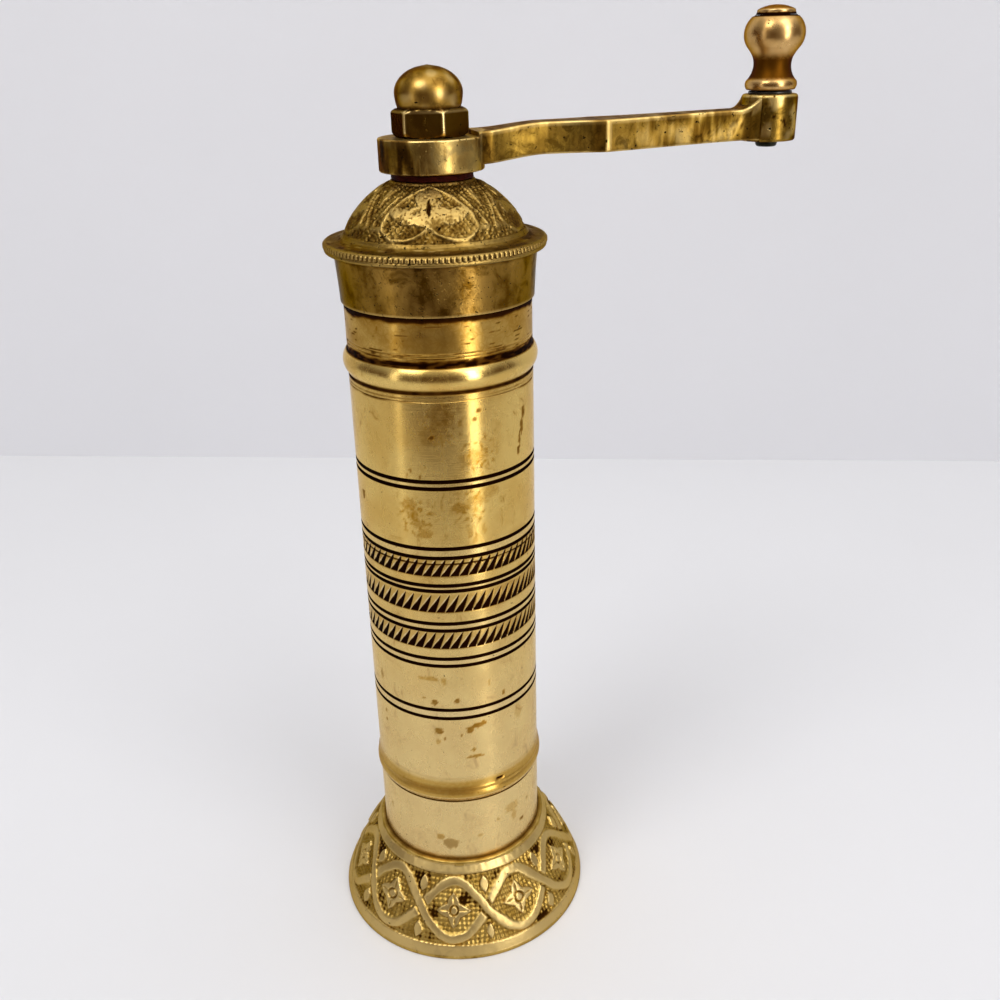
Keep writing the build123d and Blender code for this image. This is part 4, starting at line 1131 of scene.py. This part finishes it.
def nut_marks(angle, r, z):
    """Corners and edges of the hexagon rubbed pale, brown flats, dirt in the crease under the cap."""
    patchy = rough(r * math.cos(angle) / 2.5, r * math.sin(angle) / 2.5, z / 2.5, 1)
    if z > HEX_TOP_Z + 0.1:
        crease = 1 - step_up(z, HEX_TOP_Z + 0.2, HEX_TOP_Z + 0.7)
        top = step_up(z, HEX_TOP_Z + 5.5, HEX_TOP_Z + 7.2)
        film = 0.2 + 0.55 * max(top, step_up(patchy, 0.0, 0.4))
        return 0, max(
            0.7 * crease, 0.3 * step_up(patchy, 0.3, 0.6)
        ), film, 0.4 * step_up(-patchy, -0.1, 0.4)
    sixth = math.pi / 3
    from_corner = abs((angle - NUT_CORNER + sixth / 2) % sixth - sixth / 2) * r
    corner = 1 - step_up(from_corner, 0.12, 0.4)
    top = step_up(z, HEX_TOP_Z - 0.75, HEX_TOP_Z - 0.5) * (
        1 - step_up(z, HEX_TOP_Z - 0.35, HEX_TOP_Z - 0.1)
    )
    crease = 1 - step_up(r, 6.1, 6.4) if z > HEX_TOP_Z - 0.1 else 0
    return 0, max(0.8 * crease, 0.15 * step_up(patchy, 0.2, 0.5)), 1, max(0.9 * corner, 0.6 * top)


def make_nut():
    """Hexagon drawn in from a turned shape; its cap is an oval a little flatter than a ball, with a point."""
    cap_z = HEX_TOP_Z + 2.6
    rises = [math.radians(degrees) for degrees in range(4, 80, 4)]
    crown = [(6.42 * math.cos(rise), cap_z + 4.75 * math.sin(rise)) for rise in rises]
    outline = [
        (3.06, HUB_TOP_Z), (6.4, HUB_TOP_Z), (6.75, HUB_TOP_Z + 0.2), (7.05, HUB_TOP_Z + 0.42),
        (7.28, HUB_TOP_Z + 0.7), (7.38, HUB_TOP_Z + 0.95), (7.38, HUB_TOP_Z + 1.6),
        (7.38, HUB_TOP_Z + 2.8), (7.38, HEX_TOP_Z - 0.8), (7.3, HEX_TOP_Z - 0.62), (7.1, HEX_TOP_Z - 0.4),
        (6.85, HEX_TOP_Z - 0.2), (6.45, HEX_TOP_Z), (6.0, HEX_TOP_Z), (6.0, HEX_TOP_Z + 0.3),
        *bow((6.05, HEX_TOP_Z + 0.35), (6.42, cap_z), 0.06, 6), *crown, (0.6, HEX_TOP_Z + 7.36),
        (0, HEX_TOP_Z + 7.46), (0, HUB_TOP_Z + 9.9), (3.06, HUB_TOP_Z + 9.9),
    ]
    bm = turn(outline, 216)
    for vert in bm.verts:
        x, y, z = vert.co / MM
        r = math.hypot(x, y)
        if 4 < r and z < HEX_TOP_Z + 0.01:
            shrink = min(1, flat_radius(math.atan2(y, x)) / r)
            vert.co.x *= shrink
            vert.co.y *= shrink
    return carve(bm, nut_marks)


piece("cap_nut_worn", make_nut(), "nut", "nut_brass", nut_brass, "cap_nut")

# Knob on its rivet


def knob_marks(angle, r, z):
    """Black oil under the button and at the base, brown in the waist, bright bulb and base ring."""
    up = z - KNOB_Z
    groove = step_up(up, 13.25, 13.42)
    waist = step_up(up, 1.75, 2.3) * (1 - step_up(up, 5.6, 7.4))
    under = 1 - step_up(up, 0.1, 0.35)
    blotchy = 0.4 + 0.3 * rough(angle * 1.5, up / 4, 0, 1) + 0.2 * rough(angle * 5, up, 0, 1)
    stain = max(waist, 0.5 * blotchy)
    return 0, max(groove, 0.7 * under, 0.42 * waist), stain, 0.7 * (1 - waist) * (1 - blotchy)


def button_marks(angle, r, z):
    """Black oil up the button's side."""
    lip = KNOB_Z + 14.25 + 0.1 * rough(angle * 6, 0, 0, 1)
    return 0, 1 - step_up(z, lip - 0.15, lip), 0.5, 0.6 * (1 - step_up(z, lip + 0.3, lip + 0.6))


def moved_to_boss(bm):
    """Shift from the mill's axis to the knob's."""
    bmesh.ops.translate(bm, verts=bm.verts[:], vec=(CRANK_X * MM, 0, 0))
    return bm


knob_outline = [
    (RIVET_HOLE_R, KNOB_Z), (4.75, KNOB_Z, 0.2), (4.9, KNOB_Z + 0.3),
    *bow((4.9, KNOB_Z + 0.3), (4.9, KNOB_Z + 1.75), 0.22, 8), (4.7, KNOB_Z + 1.95),
    *bow((4.7, KNOB_Z + 1.95), (3.95, KNOB_Z + 6.1), -0.6, 16),
    *bow((3.95, KNOB_Z + 6.1), (4.9, KNOB_Z + 7.55), -0.05, 5),
    *bow((4.9, KNOB_Z + 7.55), (4.5, KNOB_Z + 13.4), 1.25, 24), (4.3, KNOB_Z + 13.45),
    (4.15, KNOB_Z + 13.5), (4.05, KNOB_Z + 13.62), (RIVET_HOLE_R, KNOB_Z + 13.62),
]
piece(
    "knob_turned", moved_to_boss(carve(turn(knob_outline, 128), knob_marks)), "knob", "knob_brass",
    knob_brass, "crank_knob",
)

BUTTON_Z = KNOB_Z + 13.7
rivet_outline = [
    (0, KNOB_Z), (RIVET_R, KNOB_Z), (RIVET_R, BUTTON_Z), (3.95, BUTTON_Z), (3.8, BUTTON_Z + 0.25),
    (3.7, BUTTON_Z + 0.5), (3.72, BUTTON_Z + 0.62), (3.7, BUTTON_Z + 0.75), (3.6, BUTTON_Z + 0.9),
    *bow((3.5, BUTTON_Z + 0.98), (0, 201.2), 0.22, 10),
]
piece(
    "knob_rivet_head", moved_to_boss(carve(turn(rivet_outline, 96), button_marks)), "crank", "knob_brass",
    knob_brass, "knob_axle",
)

RIVET_END_Z = 174.93
rivet_end_outline = [
    (0, RIVET_END_Z), (2.0, RIVET_END_Z, 0.35), (2.2, 175.6), (2.2, BOSS_Z), (RIVET_R, BOSS_Z),
    (RIVET_R, KNOB_Z - 0.01), (0, KNOB_Z - 0.01),
]
piece("knob_rivet_end", moved_to_boss(turn(rivet_end_outline, 64)), "crank", "burr_steel", black_rivet)

RING_R = 4.3
RING_TOP_Z = BOSS_TOP_Z + 0.5
knob_washer_outline = [
    (RIVET_HOLE_R, BOSS_TOP_Z), (RING_R, BOSS_TOP_Z, 0.15), (RING_R, RING_TOP_Z, 0.15),
    (RIVET_HOLE_R, RING_TOP_Z),
]
piece(
    "knob_washer_worn", moved_to_boss(turn(knob_washer_outline, 96)), "crank", "burr_steel", burr_steel,
    "knob_washer",
)

# Spring on the shaft: a coil with flat ground ends, at the length of its solid (the real one shortens as the
# adjuster lifts the shaft)

WIRE_R = 0.65
WIRE_SIDES = 12
COIL_TURNS = 5
STEPS_A_TURN = 40
SEAT_GAP = 0.02

spring_low, spring_high = [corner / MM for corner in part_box("spring")]
spring_h = spring_high[2] - spring_low[2]
coil = bmesh.new()
wire_place = Matrix.Translation((spring_high[0] * MM - WIRE_R * MM, 0, spring_low[2] * MM))
bmesh.ops.create_circle(
    coil, segments=WIRE_SIDES, radius=WIRE_R * MM, cap_ends=False,
    matrix=wire_place @ Matrix.Rotation(math.pi / 2, 4, "X"),
)
bmesh.ops.spin(
    coil, geom=coil.verts[:] + coil.edges[:], axis=(0, 0, 1), cent=(0, 0, 0),
    dvec=(0, 0, spring_h * MM / (COIL_TURNS * STEPS_A_TURN)), angle=2 * math.pi * COIL_TURNS,
    steps=COIL_TURNS * STEPS_A_TURN, use_merge=False, use_duplicate=False,
)
for cut_z, away in ((spring_low[2] + SEAT_GAP, -1), (spring_high[2] - SEAT_GAP, 1)):
    bmesh.ops.bisect_plane(
        coil, geom=coil.verts[:] + coil.edges[:] + coil.faces[:], dist=MERGE_M, plane_co=(0, 0, cut_z * MM),
        plane_no=(0, 0, away), clear_outer=True, clear_inner=False,
    )
bmesh.ops.holes_fill(coil, edges=[edge for edge in coil.edges if edge.is_boundary], sides=0)
spring = piece("spring_coil", coil, "mill_body", "steel", steel, "spring")
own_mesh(spring)

# The works inside keep their solids, with the finish of their slot

FINISHES = {"plain_brass": plain_brass, "steel": steel, "burr_steel": burr_steel}
for part in frame["record"]["subparts"]:
    node = frame["nodes"][part["node"]]
    if part["material_slot"] in FINISHES and not node.hide_render:
        node.data.materials.clear()
        node.data.materials.append(FINISHES[part["material_slot"]])

# Stage: white tabletop and a pale wall behind it


def matte_white(name, colour):
    """Matte painted board with a barely seen mottle."""
    material, tree, shader = new_material(name)
    place = add(tree, "TexCoord").outputs["Object"]
    cloud = add(tree, "TexNoise", {"Vector": place, "Scale": 6, "Detail": 3}).outputs["Fac"]
    tone = add(tree, "MapRange", {"Value": cloud, "To Min": 0.97, "To Max": 1.03}).outputs["Result"]
    shade = add(
        tree, "Mix", {0: 1.0, 6: linear(colour), 7: tone}, data_type="RGBA", blend_type="MULTIPLY",
    ).outputs[2]
    feed(tree, shader, {"Base Color": shade, "Roughness": 0.55})
    return material


def board(name, material, matrix):
    """Flat square of the stage, sized and placed by the matrix."""
    bm = bmesh.new()
    bmesh.ops.create_grid(bm, x_segments=1, y_segments=1, size=1, matrix=matrix)
    mesh = bpy.data.meshes.new(name)
    bm.to_mesh(mesh)
    bm.free()
    mesh.materials.append(material)
    made = bpy.data.objects.new(name, mesh)
    bpy.context.scene.collection.objects.link(made)
    return made


view_turn = Matrix.Rotation(CAMERA_SIDE + math.pi / 2, 4, "Z")
wall_turn = Matrix.Rotation(math.radians(-18.7), 4, "Z")
FLOOR_FRONT = -0.28
FLOOR_END = -1.6
FLOOR_BACK = 0.7
WALL_BACK = 0.2826
WALL_HALF_H = 0.6
SIDE = 1.6
white_table = matte_white("white_table_top", "#DBDBDD")


def floor_board(name, front, back):
    """Strip of the table between two distances from the mill, seen from the camera."""
    middle = Matrix.Translation((0, (front + back) / 2, 0))
    return board(name, white_table, view_turn @ middle @ Matrix.Diagonal((SIDE, (back - front) / 2, 1, 1)))


floor_board("table_top", FLOOR_FRONT, FLOOR_BACK)
# The near part of the table doesn't show in the brass, which mirrors a dim room and its cards there
near_table = floor_board("table_front", FLOOR_END, FLOOR_FRONT)
near_table.visible_glossy = False
near_table.visible_shadow = False
upright = Matrix.Rotation(math.pi / 2, 4, "X") @ Matrix.Diagonal((SIDE, WALL_HALF_H, 1, 1))
board(
    "back_wall", matte_white("pale_wall", "#EDEEF3"),
    wall_turn @ Matrix.Translation((0, WALL_BACK, WALL_HALF_H)) @ upright,
)

# Light: a pale room, tall bright cards at both sides of the camera, soft windows above


def softbox(name, side, rise, away, aim_z, width, height, power):
    """Area light facing the mill, turned in degrees from the camera's side; metres and watts."""
    light = bpy.data.lights.new(name, "AREA")
    light.shape = "RECTANGLE"
    light.size = width
    light.size_y = height
    light.energy = power
    lamp = bpy.data.objects.new(name, light)
    angle = CAMERA_SIDE + math.radians(side)
    lift = math.radians(rise)
    way = Vector((math.cos(angle) * math.cos(lift), math.sin(angle) * math.cos(lift), math.sin(lift)))
    lamp.location = Vector((0, 0, aim_z)) + away * way
    lamp.rotation_euler = way.to_track_quat("Z", "Y").to_euler()
    lamp.visible_camera = False
    bpy.context.scene.collection.objects.link(lamp)
    return lamp


# The cards are there for their reflections, so they light nothing but the mill
for card in (
    softbox("right_card", 36, 3, 0.8, 0.26, 0.17, 0.8, 3.8),
    softbox("left_card", -55, 3, 0.8, 0.15, 0.1, 0.8, 0.62),
):
    card.light_linking.receiver_collection = mill
softbox("right_window", 40, 48, 1.5, 0.1, 0.7, 1.0, 5.9)
softbox("left_window", -45, 52, 1.4, 0.1, 0.5, 0.7, 6.4)
softbox("ceiling", 60, 82, 1.3, 0.1, 1.6, 1.6, 8.4)

world = bpy.data.worlds.new("pale_room")
bpy.context.scene.world = world
world.use_nodes = True
room = world.node_tree
direction = add(room, "TexCoord").outputs["Generated"]
height = add(room, "SeparateXYZ", {"Vector": direction}).outputs["Z"]
lift = ranged(room, height, 0.08, 0.8)
tint = mixed(room, lift, linear("#5E4218"), linear("#CACACC"))
seen = add(room, "LightPath").outputs["Is Camera Ray"]
backdrop = mixed(room, seen, tint, linear("#E2E2E5"))
feed(room, room.nodes["Background"], {"Color": backdrop, "Strength": 0.84})

# Camera: where the photograph was taken from

LENS_MM = 36.87
CAMERA_AWAY = 204.65
CAMERA_HEIGHT = 196.45
HEADING = math.radians(14.209)
PITCH = math.radians(24.293)
ROLL = math.radians(-1.378)

forward = Vector(
    (math.sin(HEADING) * math.cos(PITCH), math.cos(HEADING) * math.cos(PITCH), -math.sin(PITCH))
)
level = Vector((math.cos(HEADING), -math.sin(HEADING), 0))
upward = level.cross(forward)
right = math.cos(ROLL) * level + math.sin(ROLL) * upward
above = -math.sin(ROLL) * level + math.cos(ROLL) * upward
camera = bpy.data.cameras.new("camera")
camera.sensor_width = 36
camera.lens = LENS_MM
camera.clip_start = 0.01
viewer = bpy.data.objects.new("camera", camera)
turned = Matrix((right, above, -forward)).transposed()
spot = Vector(
    (math.cos(CAMERA_SIDE), math.sin(CAMERA_SIDE), 0)
) * CAMERA_AWAY + Vector((0, 0, CAMERA_HEIGHT))
viewer.matrix_world = Matrix.Translation(spot * MM) @ turned.to_4x4()
bpy.context.scene.collection.objects.link(viewer)
bpy.context.scene.camera = viewer
bpy.context.scene.view_settings.view_transform = "Standard"
